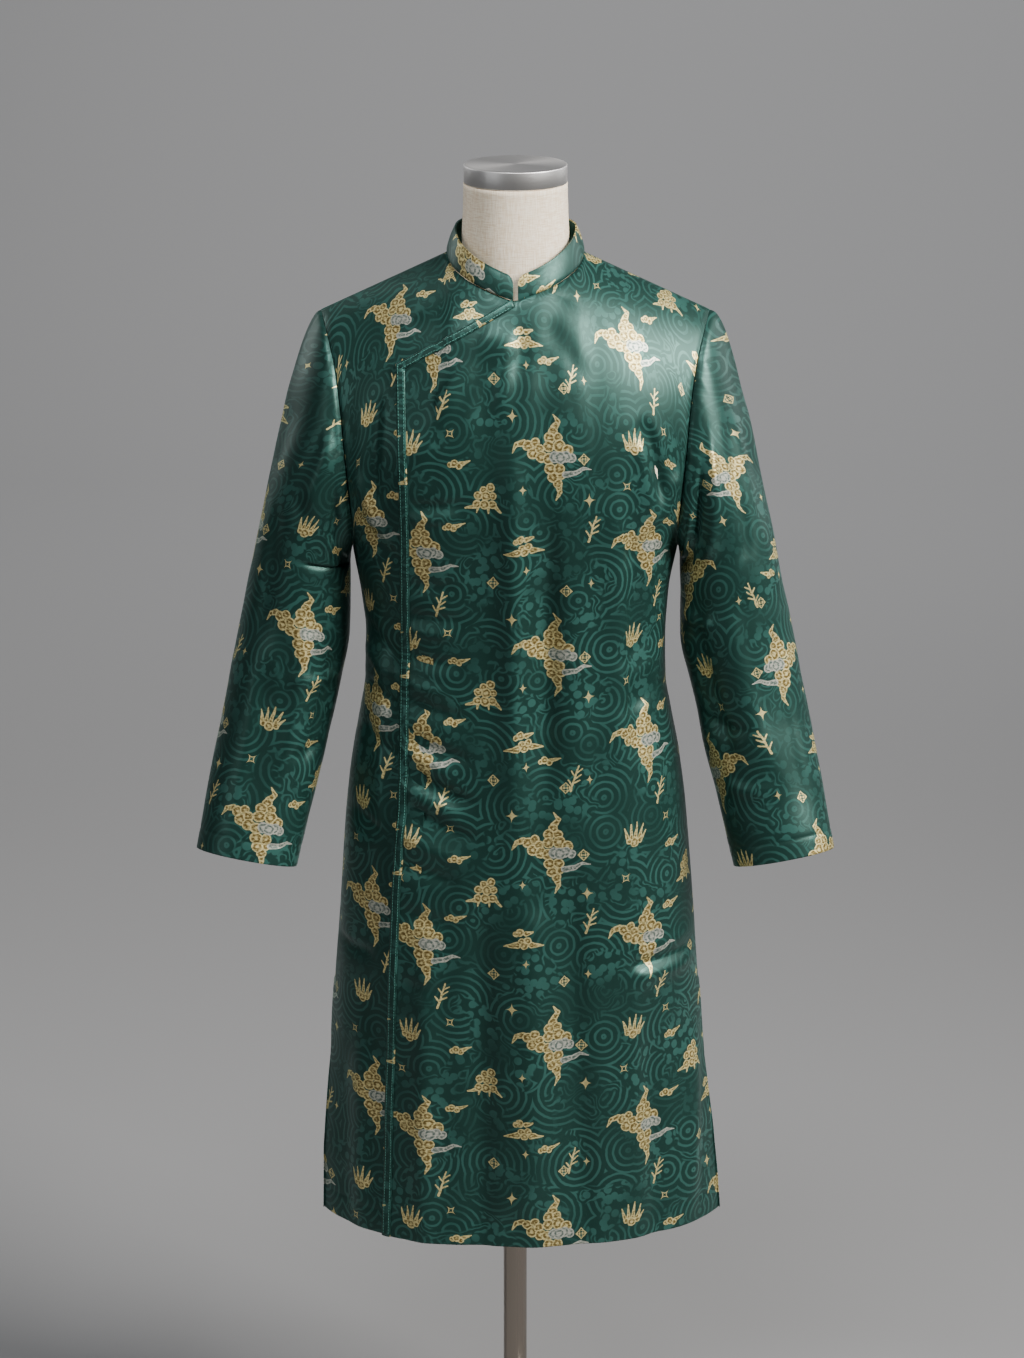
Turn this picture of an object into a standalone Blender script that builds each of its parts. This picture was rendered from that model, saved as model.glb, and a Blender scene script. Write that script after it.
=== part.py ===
"""Knee-length ao dai tunic worn on a limbless dress form, in metres, +Z up, front facing -Y.

The garment is one smooth body form cut into the panels a maker sews: front, under front, back,
two sleeves, stand collar and the edge strip of the flap.
"""

import math

import bpy
import numpy as np

# Stand and dress form
BASE_RADIUS = 0.195
BASE_HEIGHT = 0.009
BASE_BEVEL = 0.003
POLE_RADIUS = 0.014
FORM_BOTTOM = 0.745
NECK_TOP = 1.6098
CAP_RADIUS = 0.058
CAP_BOTTOM = 1.6102
CAP_TOP = 1.631
CAP_BEVEL = 0.0016
PART_GAP = 0.0004

# Cloth
WALL = 0.0015
COLLAR_WALL = 0.0018
STRIP_WALL = 0.0012
STRIP_WIDTH = 0.0092
STRIP_WIDTH_SLANTED = 0.0075
STRIP_RISE = 0.0020
FLAP_RISE = 0.0030
SEAM_GAP = 0.0004
SIDE_GAP = 0.0030

# Heights
HEM = 0.380
SLIT_TOP = 0.672
UNDERARM = 1.195
SLIT_OPEN = 0.0045

# Horizontal sections of the body from the hem to the underarm.
# height, half width on the wearer's right, on the wearer's left, front, back, side seam depth,
# degrees of the quarter turn that the front covers, fullness of the curve
BODY_COLUMNS = ("height", "right", "left", "front", "back", "side", "turn", "full")
BODY = (
    (0.380, 0.2293, 0.2443, -0.143, 0.120, -0.024, 66.0, 2.25),
    (0.470, 0.2265, 0.2365, -0.139, 0.121, -0.019, 70.0, 2.15),
    (0.570, 0.2191, 0.2244, -0.136, 0.122, -0.012, 76.0, 2.2),
    (0.670, 0.2131, 0.2159, -0.133, 0.123, -0.006, 82.0, 2.25),
    (0.770, 0.2045, 0.2080, -0.130, 0.125, -0.002, 88.0, 2.3),
    (0.870, 0.1975, 0.1993, -0.126, 0.124, 0.000, 90.0, 2.3),
    (0.945, 0.1888, 0.1900, -0.121, 0.117, 0.000, 90.0, 2.3),
    (0.993, 0.1802, 0.1805, -0.118, 0.110, 0.000, 90.0, 2.3),
    (1.040, 0.1728, 0.1732, -0.116, 0.105, 0.000, 90.0, 2.3),
    (1.090, 0.1716, 0.1722, -0.116, 0.103, 0.000, 90.0, 2.3),
    (1.140, 0.1768, 0.1750, -0.118, 0.105, 0.000, 90.0, 2.3),
    (1.195, 0.1857, 0.1855, -0.121, 0.109, 0.000, 90.0, 2.35),
)

# Armhole seam from the underarm to the shoulder point.
# share of the way up, half width, depth, height
ARMHOLE_COLUMNS = ("share", "width", "depth", "height")
ARMHOLE_FRONT = (
    (0.00, 0.1857, 0.000, 1.195),
    (0.10, 0.1838, -0.030, 1.199),
    (0.22, 0.1828, -0.056, 1.217),
    (0.38, 0.1868, -0.070, 1.262),
    (0.54, 0.1915, -0.072, 1.312),
    (0.69, 0.1955, -0.066, 1.360),
    (0.83, 0.2021, -0.052, 1.407),
    (0.93, 0.2115, -0.028, 1.443),
    (1.00, 0.2195, 0.004, 1.4655),
)
ARMHOLE_BACK = (
    (0.00, 0.1857, 0.000, 1.195),
    (0.10, 0.1845, 0.028, 1.201),
    (0.22, 0.1840, 0.052, 1.222),
    (0.38, 0.1872, 0.070, 1.265),
    (0.54, 0.1915, 0.077, 1.315),
    (0.69, 0.1965, 0.074, 1.364),
    (0.83, 0.2035, 0.062, 1.410),
    (0.93, 0.2120, 0.038, 1.446),
    (1.00, 0.2195, 0.004, 1.4655),
)

# Neckline and shoulder seam
NECK_SHARE = 0.36
NECK_FRONT = (0.0, -0.078, 1.4900)
NECK_SIDE = (0.0775, 0.004, 1.5315)
NECK_BACK = (0.0, 0.064, 1.5350)
SHOULDER_POINT = (0.2195, 0.004, 1.4655)

# How each column leaves the underarm section and reaches the top seam.
# share across, start depth pull, start rise, end depth pull, end rise
COLUMN_COLUMNS = ("share", "start_depth", "start_rise", "end_depth", "end_rise")
FRONT_COLUMNS = (
    (0.00, -0.035, 0.33, 0.130, 0.24),
    (0.10, -0.037, 0.33, 0.155, 0.23),
    (0.20, -0.038, 0.34, 0.234, 0.20),
    (0.30, -0.040, 0.34, 0.332, 0.16),
    (0.36, -0.040, 0.34, 0.385, 0.13),
    (0.50, -0.045, 0.34, 0.371, 0.12),
    (0.70, -0.048, 0.34, 0.350, 0.10),
    (1.00, -0.060, 0.30, 0.350, 0.10),
)
BACK_COLUMNS = (
    (0.00, 0.070, 0.36, -0.160, 0.24),
    (0.20, 0.075, 0.36, -0.250, 0.20),
    (0.30, 0.075, 0.36, -0.327, 0.16),
    (0.36, 0.075, 0.36, -0.365, 0.13),
    (0.50, 0.075, 0.36, -0.357, 0.12),
    (0.70, 0.075, 0.35, -0.335, 0.10),
    (1.00, 0.070, 0.30, -0.350, 0.10),
)

# Sleeve sections square to the arm, wearer's left.
# outer side and height, inner side and height, depth of the middle, half depth, forward tilt
SLEEVE_COLUMNS = ("share", "outer", "outer_height", "inner", "inner_height", "middle", "half_depth", "tilt")
SLEEVE = (
    (0.00, 0.2965, 1.197, 0.1893, 1.172, 0.000, 0.0700, 0.02),
    (0.22, 0.3145, 1.113, 0.1905, 1.089, -0.003, 0.0670, 0.05),
    (0.35, 0.3245, 1.065, 0.2000, 1.041, -0.007, 0.0645, 0.08),
    (0.48, 0.3340, 1.019, 0.2105, 0.995, -0.013, 0.0620, 0.12),
    (0.62, 0.3430, 0.974, 0.2210, 0.949, -0.021, 0.0590, 0.16),
    (0.75, 0.3525, 0.929, 0.2325, 0.904, -0.030, 0.0560, 0.19),
    (0.88, 0.3610, 0.884, 0.2440, 0.860, -0.041, 0.0530, 0.21),
    (1.00, 0.3685, 0.8435, 0.2535, 0.8205, -0.052, 0.0505, 0.23),
)
# How the sleeve head leaves the armhole, by angle round the arm.
# degrees from the shoulder point over the front, pull out, pull in depth, pull down, end length
HEAD_COLUMNS = ("angle", "out", "depth", "down", "end")
HEAD = (
    (0.0, 0.075, 0.000, -0.030, 0.28),
    (50.0, 0.060, -0.045, -0.030, 0.20),
    (90.0, 0.045, -0.040, -0.030, 0.12),
    (140.0, 0.020, -0.015, -0.020, 0.05),
    (180.0, 0.006, 0.000, -0.010, 0.02),
    (220.0, 0.020, 0.015, -0.020, 0.05),
    (270.0, 0.045, 0.040, -0.030, 0.12),
    (310.0, 0.060, 0.045, -0.030, 0.20),
    (360.0, 0.075, 0.000, -0.030, 0.28),
)

# Free edge of the flap, from the hem up to its corner, then slanting to the neck.
# height, distance from the middle
FLAP = (
    (0.380, -0.1545),
    (0.624, -0.1470),
    (0.806, -0.1400),
    (0.935, -0.1312),
    (1.159, -0.1272),
    (1.420, -0.1312),
)
FLAP_CORNER = (-0.1312, 1.4200)
FLAP_END = (-0.0045, 1.4915)

# Covered edge of the under front: share across at a share of the way up
UNDER_EDGE = (
    (0.00, -0.42),
    (1.00, -0.40),
    (1.66, -0.34),
    (1.80, -0.16),
    (1.90, -0.05),
    (2.00, -0.012),
)

# Large folds of the front and back: start across and height, end across and height,
# half width, rise
FOLD_COLUMNS = ("x0", "z0", "x1", "z1", "half_width", "rise")
FRONT_FOLDS = (
    (0.005, 1.40, 0.000, 0.44, 0.020, 0.0035),
    (0.035, 1.16, 0.030, 0.80, 0.018, -0.0030),
    (0.120, 1.18, 0.150, 0.42, 0.024, 0.0030),
    (0.165, 1.30, 0.175, 1.20, 0.016, -0.0030),
    (0.150, 0.700, 0.215, 0.715, 0.014, 0.0030),
    (-0.010, 1.46, -0.105, 1.33, 0.018, 0.0025),
    (-0.085, 0.96, -0.075, 0.42, 0.022, -0.0025),
    (-0.185, 1.10, -0.200, 0.46, 0.022, 0.0025),
)
BACK_FOLDS = (
    (0.000, 1.10, 0.000, 0.44, 0.024, -0.0035),
    (0.080, 1.16, 0.095, 0.42, 0.026, 0.0030),
    (-0.085, 1.14, -0.100, 0.42, 0.026, 0.0030),
    (0.150, 1.33, 0.060, 1.20, 0.020, 0.0025),
    (-0.150, 1.33, -0.060, 1.20, 0.020, 0.0025),
)

# Room between the cloth and the form by height
FORM_ROOM = (
    (0.700, 0.030),
    (0.870, 0.026),
    (0.970, 0.018),
    (1.060, 0.014),
    (1.150, 0.012),
    (1.230, 0.009),
    (1.320, 0.0065),
    (1.420, 0.0056),
    (1.500, 0.0048),
    (1.540, 0.0042),
)

# Half width of the form at the armholes by height
FORM_SIDE = (
    (0.900, 0.2500),
    (1.150, 0.1900),
    (1.195, 0.1752),
    (1.262, 0.1775),
    (1.312, 0.1825),
    (1.360, 0.1870),
    (1.407, 0.1940),
    (1.443, 0.2030),
    (1.466, 0.2130),
)

# Neck of the form above the neckline: share round level front height, back height, half width,
# half depth, middle
NECK_RINGS = (
    (1.5060, 1.5560, 0.0615, 0.0565, -0.0050),
    (1.5420, 1.5750, 0.0600, 0.0570, -0.0030),
    (1.5780, 1.5900, 0.0588, 0.0575, -0.0010),
    (NECK_TOP, NECK_TOP, 0.0583, 0.0580, 0.0000),
)

# Stand collar, by degrees round from the front: rise, lean in, lean in depth
COLLAR = (
    (0.0, 0.0235, 0.0000, 0.0105),
    (30.0, 0.0240, 0.0045, 0.0085),
    (60.0, 0.0255, 0.0085, 0.0045),
    (90.0, 0.0272, 0.0100, 0.0005),
    (130.0, 0.0295, 0.0065, -0.0040),
    (180.0, 0.0310, 0.0000, -0.0070),
)
COLLAR_NOTCH = 0.0042
COLLAR_CORNER = 0.0060

# Shares of the way up the armhole where panels and sleeves have their points
HOLE_STEPS = (0.0, 0.05, 0.12, 0.21, 0.32, 0.44, 0.56, 0.68, 0.79, 0.90, 1.0)

LATTICE_ACROSS = 81
LATTICE_UP = 61


def row_value(rows, key, column):
    """Smoothly interpolated column of a table whose first column is the key."""
    keys = [r[0] for r in rows]
    vals = [r[column] for r in rows]
    key = min(max(key, keys[0]), keys[-1])
    i = 0
    while i < len(keys) - 2 and key > keys[i + 1]:
        i += 1
    span = keys[i + 1] - keys[i]
    t = (key - keys[i]) / span
    here = (vals[i + 1] - vals[i]) / span
    before = here
    after = here
    if i > 0:
        before = (vals[i] - vals[i - 1]) / (keys[i] - keys[i - 1])
    if i < len(keys) - 2:
        after = (vals[i + 2] - vals[i + 1]) / (keys[i + 2] - keys[i + 1])
    m0 = 0.0 if before * here <= 0.0 else 2.0 * before * here / (before + here)
    m1 = 0.0 if after * here <= 0.0 else 2.0 * after * here / (after + here)
    m0 = here if i == 0 else m0
    m1 = here if i == len(keys) - 2 else m1
    a = vals[i] * (1 + 2 * t) * (1 - t) ** 2 + vals[i + 1] * t * t * (3 - 2 * t)
    return a + span * (m0 * t * (1 - t) ** 2 - m1 * t * t * (1 - t))


def hermite(p0, p1, m0, m1, t):
    """Point of a cubic between two points with given pulls."""
    a = (1 + 2 * t) * (1 - t) ** 2
    b = t * t * (3 - 2 * t)
    c = t * (1 - t) ** 2
    d = t * t * (1 - t)
    return a * p0 + b * p1 + c * m0 - d * m1


def smooth(t):
    """Ease from 0 to 1."""
    t = min(max(t, 0.0), 1.0)
    return t * t * (3.0 - 2.0 * t)


def quarter_section(height, side, front):
    """Even points from the middle to the side seam of one quarter of a body section."""
    half = row_value(BODY, height, 1 if side < 0 else 2)
    middle = row_value(BODY, height, 3 if front else 4)
    seam = row_value(BODY, height, 5)
    turn = math.radians(row_value(BODY, height, 6))
    full = row_value(BODY, height, 7)
    if not front:
        turn = min(turn, math.radians(84.0)) if height < SLIT_TOP else turn
    a = np.linspace(0.0, turn, 241)
    across = np.sin(a) ** (2.0 / full)
    deep = 1.0 - np.maximum(np.cos(a), 0.0) ** (2.0 / full)
    x = half * across / across[-1]
    y = middle + (seam - middle) * deep / deep[-1]
    run = np.concatenate(([0.0], np.cumsum(np.hypot(np.diff(x), np.diff(y)))))
    even = np.linspace(0.0, run[-1], LATTICE_ACROSS)
    return side * np.interp(even, run, x), np.interp(even, run, y)


def top_seam(share, side, front):
    """Point of the neckline or shoulder seam at a share across."""
    if share <= NECK_SHARE:
        a = 0.5 * math.pi * share / NECK_SHARE
        end = NECK_FRONT if front else NECK_BACK
        x = NECK_SIDE[0] * math.sin(a)
        y = NECK_SIDE[1] + (end[1] - NECK_SIDE[1]) * math.cos(a)
        rise = share / NECK_SHARE if front else math.sin(a)
        z = end[2] + (NECK_SIDE[2] - end[2]) * rise
        return np.array((side * x, y, z))
    t = (share - NECK_SHARE) / (1.0 - NECK_SHARE)
    p = [NECK_SIDE[k] + (SHOULDER_POINT[k] - NECK_SIDE[k]) * t for k in range(3)]
    return np.array((side * p[0], p[1], p[2]))


def make_lattice(front):
    """Fine net of the body: first index up (0 hem, 1 underarm, 2 top), second across -1 to 1."""
    count = LATTICE_ACROSS
    net = np.zeros((2 * LATTICE_UP - 1, 2 * count - 1, 3))
    columns = FRONT_COLUMNS if front else BACK_COLUMNS
    hole = ARMHOLE_FRONT if front else ARMHOLE_BACK
    for side in (-1, 1):
        for j in range(LATTICE_UP):
            height = HEM + (UNDERARM - HEM) * j / (LATTICE_UP - 1)
            x, y = quarter_section(height, side, front)
            for i in range(count):
                net[j, count - 1 + side * i] = (x[i], y[i], height)
        for i in range(count):
            share = i / (count - 1)
            low = net[LATTICE_UP - 1, count - 1 + side * i].copy()
            top = top_seam(share, side, front)
            pull = [row_value(columns, share, k) for k in range(1, 5)]
            start = np.array((0.0, pull[0], pull[1]))
            end = np.array((0.0, pull[2], pull[3]))
            for j in range(1, LATTICE_UP):
                v = j / (LATTICE_UP - 1)
                p = hermite(low, top, start, end, v)
                net[LATTICE_UP - 1 + j, count - 1 + side * i] = p
        for j in range(1, LATTICE_UP):
            v = j / (LATTICE_UP - 1)
            row = LATTICE_UP - 1 + j
            seam = np.array([row_value(hole, v, k) for k in (1, 2, 3)])
            seam[0] *= side
            edge = net[row, count - 1 + side * (count - 1)].copy()
            move = seam - edge
            for i in range(count):
                share = i / (count - 1)
                net[row, count - 1 + side * i] += move * share ** 3.5
    return net


def net_point(net, share, up):
    """Point of a net at share across (-1 to 1) and up (0 to 2)."""
    u = (share + 1.0) * 0.5 * (net.shape[1] - 1)
    w = up * 0.5 * (net.shape[0] - 1)
    i = int(min(max(math.floor(u), 0), net.shape[1] - 2))
    j = int(min(max(math.floor(w), 0), net.shape[0] - 2))
    a = u - i
    b = w - j
    low = net[j, i] * (1 - a) + net[j, i + 1] * a
    high = net[j + 1, i] * (1 - a) + net[j + 1, i + 1] * a
    return low * (1 - b) + high * b


def net_normal(net, share, up, front):
    """Outward direction of a net."""
    d = 0.02
    s0 = max(share - d, -1.0)
    s1 = min(share + d, 1.0)
    u0 = max(up - d, 0.0)
    u1 = min(up + d, 2.0)
    across = net_point(net, s1, up) - net_point(net, s0, up)
    rise = net_point(net, share, u1) - net_point(net, share, u0)
    n = np.cross(across, rise)
    n = n / np.linalg.norm(n)
    return n if front else -n


def fold_rise(folds, x, z):
    """Rise of the large folds at a place."""
    total = 0.0
    for x0, z0, x1, z1, half_width, rise in folds:
        dx = x1 - x0
        dz = z1 - z0
        size = dx * dx + dz * dz
        t = ((x - x0) * dx + (z - z0) * dz) / size
        near = min(max(t, 0.0), 1.0)
        gap = math.hypot(x - x0 - near * dx, z - z0 - near * dz)
        total += rise * math.exp(-((gap / half_width) ** 2))
    return total


def find_place(net, x, z, up_low, up_high):
    """Share across and up where the net has this width and height."""
    share = x / 0.21
    up = min(max(1.0 + (z - UNDERARM) / 0.29 if z > UNDERARM else (z - HEM) / (UNDERARM - HEM), up_low), up_high)
    for _ in range(40):
        p = net_point(net, share, up)
        e = 0.004
        su = min(up + e, 2.0)
        sl = min(share + e, 1.0)
        ps = (net_point(net, sl, up) - net_point(net, sl - e, up)) / e
        pu = (net_point(net, share, su) - net_point(net, share, su - e)) / e
        det = ps[0] * pu[2] - pu[0] * ps[2]
        dx = x - p[0]
        dz = z - p[2]
        share += 0.8 * (dx * pu[2] - pu[0] * dz) / det
        up += 0.8 * (ps[0] * dz - dx * ps[2]) / det
        share = min(max(share, -1.0), 1.0)
        up = min(max(up, up_low), up_high)
    return share, up


def under_edge_share(up):
    """Share across where the under front ends."""
    return row_value(UNDER_EDGE, up, 1)


def flap_lift(share, up):
    """How far the front lies over the under front."""
    edge = under_edge_share(up)
    return FLAP_RISE * (1.0 - smooth((share - edge - 0.03) / 0.22))


def front_point(net, share, up, rise):
    """Point of the front surface moved out by a rise."""
    p = net_point(net, share, up)
    n = net_normal(net, share, up, True)
    return p + n * (rise + fold_rise(FRONT_FOLDS, p[0], p[2]) * seam_fade(share, up))


def back_point(net, share, up, rise):
    """Point of the back surface moved out by a rise."""
    p = net_point(net, share, up)
    n = net_normal(net, share, up, False)
    return p + n * (rise + fold_rise(BACK_FOLDS, p[0], p[2]) * seam_fade(share, up))


def seam_fade(share, up):
    """Folds die out at the seams that are sewn."""
    side = 1.0 - smooth((abs(share) - 0.80) / 0.18)
    low = 1.0 - smooth(up / 0.35)
    top = 1.0 - smooth((up - 1.72) / 0.24)
    return max(side, 0.8 * low) * top


def add_object(name, verts, faces, color, roughness, metallic):
    """Mesh object with its own material, in the part's collection."""
    mesh = bpy.data.meshes.new(name)
    mesh.from_pydata([tuple(float(c) for c in v) for v in verts], [], faces)
    mesh.validate()
    item = bpy.data.objects.new(name, mesh)
    part_collection.objects.link(item)
    material = bpy.data.materials.new(name + "_material")
    material.use_nodes = True
    shader = material.node_tree.nodes["Principled BSDF"]
    shader.inputs["Base Color"].default_value = (color[0], color[1], color[2], 1.0)
    shader.inputs["Roughness"].default_value = roughness
    shader.inputs["Metallic"].default_value = metallic
    mesh.materials.append(material)
    return item


def grid_faces(rows, cols, closed, flip):
    """Quads of a grid of rows and columns, closed round if asked."""
    faces = []
    last = cols if closed else cols - 1
    for j in range(rows - 1):
        for i in range(last):
            a = j * cols + i
            b = j * cols + (i + 1) % cols
            c = b + cols
            d = a + cols
            faces.append((a, d, c, b) if flip else (a, b, c, d))
    return faces


def add_wall(item, thickness):
    """Cloth wall centred on the surface."""
    wall = item.modifiers.new("wall", "SOLIDIFY")
    wall.thickness = thickness
    wall.offset = 0.0
    wall.use_even_offset = True
    wall.use_rim = True
    return item


def spread(start, end, count):
    """Even numbers from start to end."""
    return [start + (end - start) * k / (count - 1) for k in range(count)]


CLOTH = (0.022, 0.105, 0.085)
CLOTH_DARK = (0.014, 0.075, 0.060)
LINEN = (0.77, 0.69, 0.58)
STEEL = (0.62, 0.61, 0.60)


def remove_scene_objects():
    """Empty the scene."""
    for item in list(bpy.data.objects):
        bpy.data.objects.remove(item, do_unlink=True)


def slant_height(x):
    """Height of the flap's slanting edge at a distance across."""
    t = (x - FLAP_CORNER[0]) / (FLAP_END[0] - FLAP_CORNER[0])
    return FLAP_CORNER[1] + (FLAP_END[1] - FLAP_CORNER[1]) * t


def top_place(net, share, below):
    """How far up a column runs: to the slant left of the neck, else to the top seams."""
    size = math.hypot(FLAP_END[0] - FLAP_CORNER[0], FLAP_END[1] - FLAP_CORNER[1])
    drop = below * size / (FLAP_END[0] - FLAP_CORNER[0])
    low = 1.2
    high = 2.0
    p = net_point(net, share, 2.0)
    if p[2] <= slant_height(p[0]) or p[0] > 0.0:
        if below == 0.0:
            return 2.0
        q = net_point(net, share, 1.99)
        return 2.0 - 0.01 * below / np.linalg.norm(p - q)
    for _ in range(40):
        mid = 0.5 * (low + high)
        p = net_point(net, share, mid)
        if p[2] > slant_height(p[0]) - drop:
            high = mid
        else:
            low = mid
    return 0.5 * (low + high)


def front_places(net):
    """Rows of places of the main front; the first two columns and top two rows carry the strip."""
    rows = []
    fractions = [0.0, 0.0] + [0.605 * k / 12 for k in range(1, 13)]
    fractions += [0.605 + 0.395 * k / 8 for k in range(1, 9)]
    for up in spread(0.0, 1.0, 15):
        z = net_point(net, -0.7, up)[2]
        x = row_value(FLAP, z, 1)
        first = find_place(net, x, z, 0.0, 1.99)[0]
        second = find_place(net, x + STRIP_WIDTH, z, 0.0, 1.99)[0]
        row = [(first, up), (second, up)]
        for t in fractions[2:]:
            row.append((first + (1.0 - SIDE_GAP - first) * t, up))
        rows.append(row)
    corner = find_place(net, FLAP_CORNER[0], FLAP_CORNER[1], 1.0, 1.99)
    second = find_place(net, FLAP_CORNER[0] + STRIP_WIDTH, FLAP_CORNER[1], 1.0, 1.99)[0]
    shares = [corner[0], second]
    shares += [corner[0] + (1.0 - SIDE_GAP - corner[0]) * t for t in fractions[2:]]
    tops = [top_place(net, share, 0.0) for share in shares]
    belows = [top_place(net, share, STRIP_WIDTH_SLANTED) for share in shares]
    tops[0] = corner[1]
    belows[0] = find_place(net, FLAP_CORNER[0], net_point(net, second, belows[1])[2], 1.0, 1.99)[1]
    reach = belows[-1] - 1.0
    for step in list(HOLE_STEPS[1:-1]) + [reach]:
        t = step / reach
        row = []
        for k, share in enumerate(shares):
            up = 1.0 + (belows[k] - 1.0) * t
            base = rows[14][k][0]
            here = base + (share - base) * min(t * 1.6, 1.0)
            if k < 2:
                z = net_point(net, share, up)[2]
                x = row_value(FLAP, z, 1) + STRIP_WIDTH * k
                here, up = find_place(net, x, z, 1.0, 1.99)
            row.append((here, up))
        rows.append(row)
    rows.append([(shares[k], tops[k]) for k in range(len(shares))])
    return rows


def side_open(z):
    """How far a panel edge stands off the side below the slit top."""
    if z >= SLIT_TOP:
        return 0.0
    return SLIT_OPEN * smooth((SLIT_TOP - z) / (SLIT_TOP - HEM))


def build_front(net):
    """Main front: from the flap edge across to the wearer's left side seam and armhole."""
    rows = front_places(net)
    cols = len(rows[0])
    verts = []
    for row in rows:
        for k, (share, up) in enumerate(row):
            p = front_point(net, share, up, flap_lift(share, up))
            if k == cols - 1:
                p = p + np.array((0.0, -side_open(p[2]), 0.0))
            if up > 1.9999:
                p = p + np.array((0.0, -0.0006, -0.0004))
            verts.append(p)
    faces = grid_faces(len(rows), cols, False, False)
    item = add_object("front", verts, faces, CLOTH, 0.45, 0.0)
    add_wall(item, WALL)
    return rows


def build_strip(net, rows):
    """Edge strip of the flap, made from the front's own points and moved out."""
    last = rows[-1]
    below = rows[-2]
    across = 1
    while last[across + 1][1] < 1.9999:
        across += 1
    places = []
    for row in rows[:-1]:
        places += [row[0], row[1]]
    faces = grid_faces(len(rows) - 1, 2, False, False)
    left = 2 * (len(rows) - 2)
    mitre = left + 1
    places += [last[0], last[1]]
    corner = left + 2
    faces.append((left, mitre, corner + 1, corner))
    low = mitre
    high = corner + 1
    for k in range(2, across + 1):
        places += [below[k], last[k]]
        faces.append((low, len(places) - 2, len(places) - 1, high))
        low = len(places) - 2
        high = len(places) - 1
    verts = [front_point(net, s, u, flap_lift(s, u) + STRIP_RISE) for s, u in places]
    item = add_object("flap_strip", verts, faces, CLOTH, 0.4, 0.0)
    add_wall(item, STRIP_WALL)


def build_under_front(net):
    """Under front: the wearer's right side, carried on beneath the flap."""
    ups = spread(0.0, 1.0, 15) + [1.0 + step for step in HOLE_STEPS[1:]]
    cols = 10
    verts = []
    for up in ups:
        edge = under_edge_share(up)
        for k in range(cols):
            t = 0.648 * k / 6 if k <= 6 else 0.648 + 0.352 * (k - 6) / 3
            share = -1.0 + SIDE_GAP + (edge + 1.0 - SIDE_GAP) * t
            p = front_point(net, share, up, 0.0)
            if k == 0:
                p = p + np.array((0.0, -side_open(p[2]), 0.0))
            if up > 1.9999:
                p = p + np.array((0.0, -0.0006, -0.0004))
            verts.append(p)
    faces = grid_faces(len(ups), cols, False, False)
    item = add_object("under_front", verts, faces, CLOTH_DARK, 0.5, 0.0)
    add_wall(item, WALL)


def build_back(net):
    """Back panel from side seam to side seam."""
    ups = spread(0.0, 1.0, 14) + [1.0 + step for step in HOLE_STEPS[1:]]
    half = spread(0.0, NECK_SHARE, 5) + spread(NECK_SHARE, 1.0 - SIDE_GAP, 8)[1:]
    shares = [-share for share in reversed(half[1:])] + half
    cols = len(shares)
    verts = []
    for up in ups:
        for k, share in enumerate(shares):
            p = back_point(net, share, up, 0.0)
            if k in (0, cols - 1):
                p = p + np.array((0.0, side_open(p[2]), 0.0))
            if up > 1.9999:
                p = p + np.array((0.0, 0.0006, -0.0004))
            verts.append(p)
    faces = grid_faces(len(ups), cols, False, True)
    item = add_object("back", verts, faces, CLOTH, 0.45, 0.0)
    add_wall(item, WALL)


def hole_point(side, angle):
    """Armhole seam at an angle from the shoulder point, over the front to the underarm."""
    turn = angle % 360.0
    if turn <= 180.0:
        rows = ARMHOLE_FRONT
        v = 1.0 - turn / 180.0
    else:
        rows = ARMHOLE_BACK
        v = (turn - 180.0) / 180.0
    p = [row_value(rows, v, k) for k in (1, 2, 3)]
    return np.array((side * p[0], p[1], p[2]))


def arm_point(side, share, angle):
    """Sleeve section point below the underarm."""
    row = [row_value(SLEEVE, share, k) for k in range(1, 8)]
    outer = np.array((row[0], 0.0, row[1]))
    inner = np.array((row[2], 0.0, row[3]))
    centre = (outer + inner) * 0.5
    half = (outer - inner) * 0.5
    a = math.radians(angle)
    ca = math.copysign(abs(math.cos(a)) ** 0.94, math.cos(a))
    sa = math.copysign(abs(math.sin(a)) ** 0.94, math.sin(a))
    p = centre + half * ca
    p[1] = row[4] - row[5] * sa
    p[2] += row[5] * sa * row[6]
    p[0] *= side
    return p


def sleeve_point(side, share, angle):
    """Sleeve surface: share 0 to 1 is the head, 1 to 2 runs down to the cuff."""
    if share >= 1.0:
        return arm_point(side, share - 1.0, angle)
    start = hole_point(side, angle)
    end = arm_point(side, 0.0, angle)
    ahead = arm_point(side, 0.06, angle) - end
    ahead = ahead / np.linalg.norm(ahead)
    pull = [row_value(HEAD, angle % 360.0, k) for k in range(1, 5)]
    m0 = np.array((side * pull[0], pull[1], pull[2]))
    return hermite(start, end, m0, ahead * pull[3], share)


def hole_start(nets, side, angle):
    """Where the sleeve begins: clear of the panel's edge at the armhole."""
    p = hole_point(side, angle)
    turn = angle % 360.0
    front = turn <= 180.0
    v = 1.0 - turn / 180.0 if front else (turn - 180.0) / 180.0
    net = nets[0] if front else nets[1]
    up = 1.0 + min(max(v, 0.02), 0.97)
    along = hole_point(side, turn + 3.0) - hole_point(side, turn - 3.0)
    along = along / np.linalg.norm(along)
    face = net_normal(net, side * 0.97, up, front)
    away = np.cross(face, along)
    away = away / np.linalg.norm(away)
    if np.dot(away, p - net_point(net, side * 0.93, up)) < 0.0:
        away = -away
    under = smooth((min(turn, 360.0 - turn) - 95.0) / 45.0)
    away = away * (1.0 - under) + np.array((0.0, 0.0, 1.0)) * under
    face = face * (1.0 - under) + np.array((side, 0.0, 0.0)) * under
    ahead = sleeve_point(side, 0.05, angle) - p
    ahead = ahead / np.linalg.norm(ahead)
    fold = 1.0 - float(np.dot(ahead, away))
    return p + away * (0.0014 + 0.0008 * under) + face * (0.0014 * fold + 0.0026 + 0.0004 * under)


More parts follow.
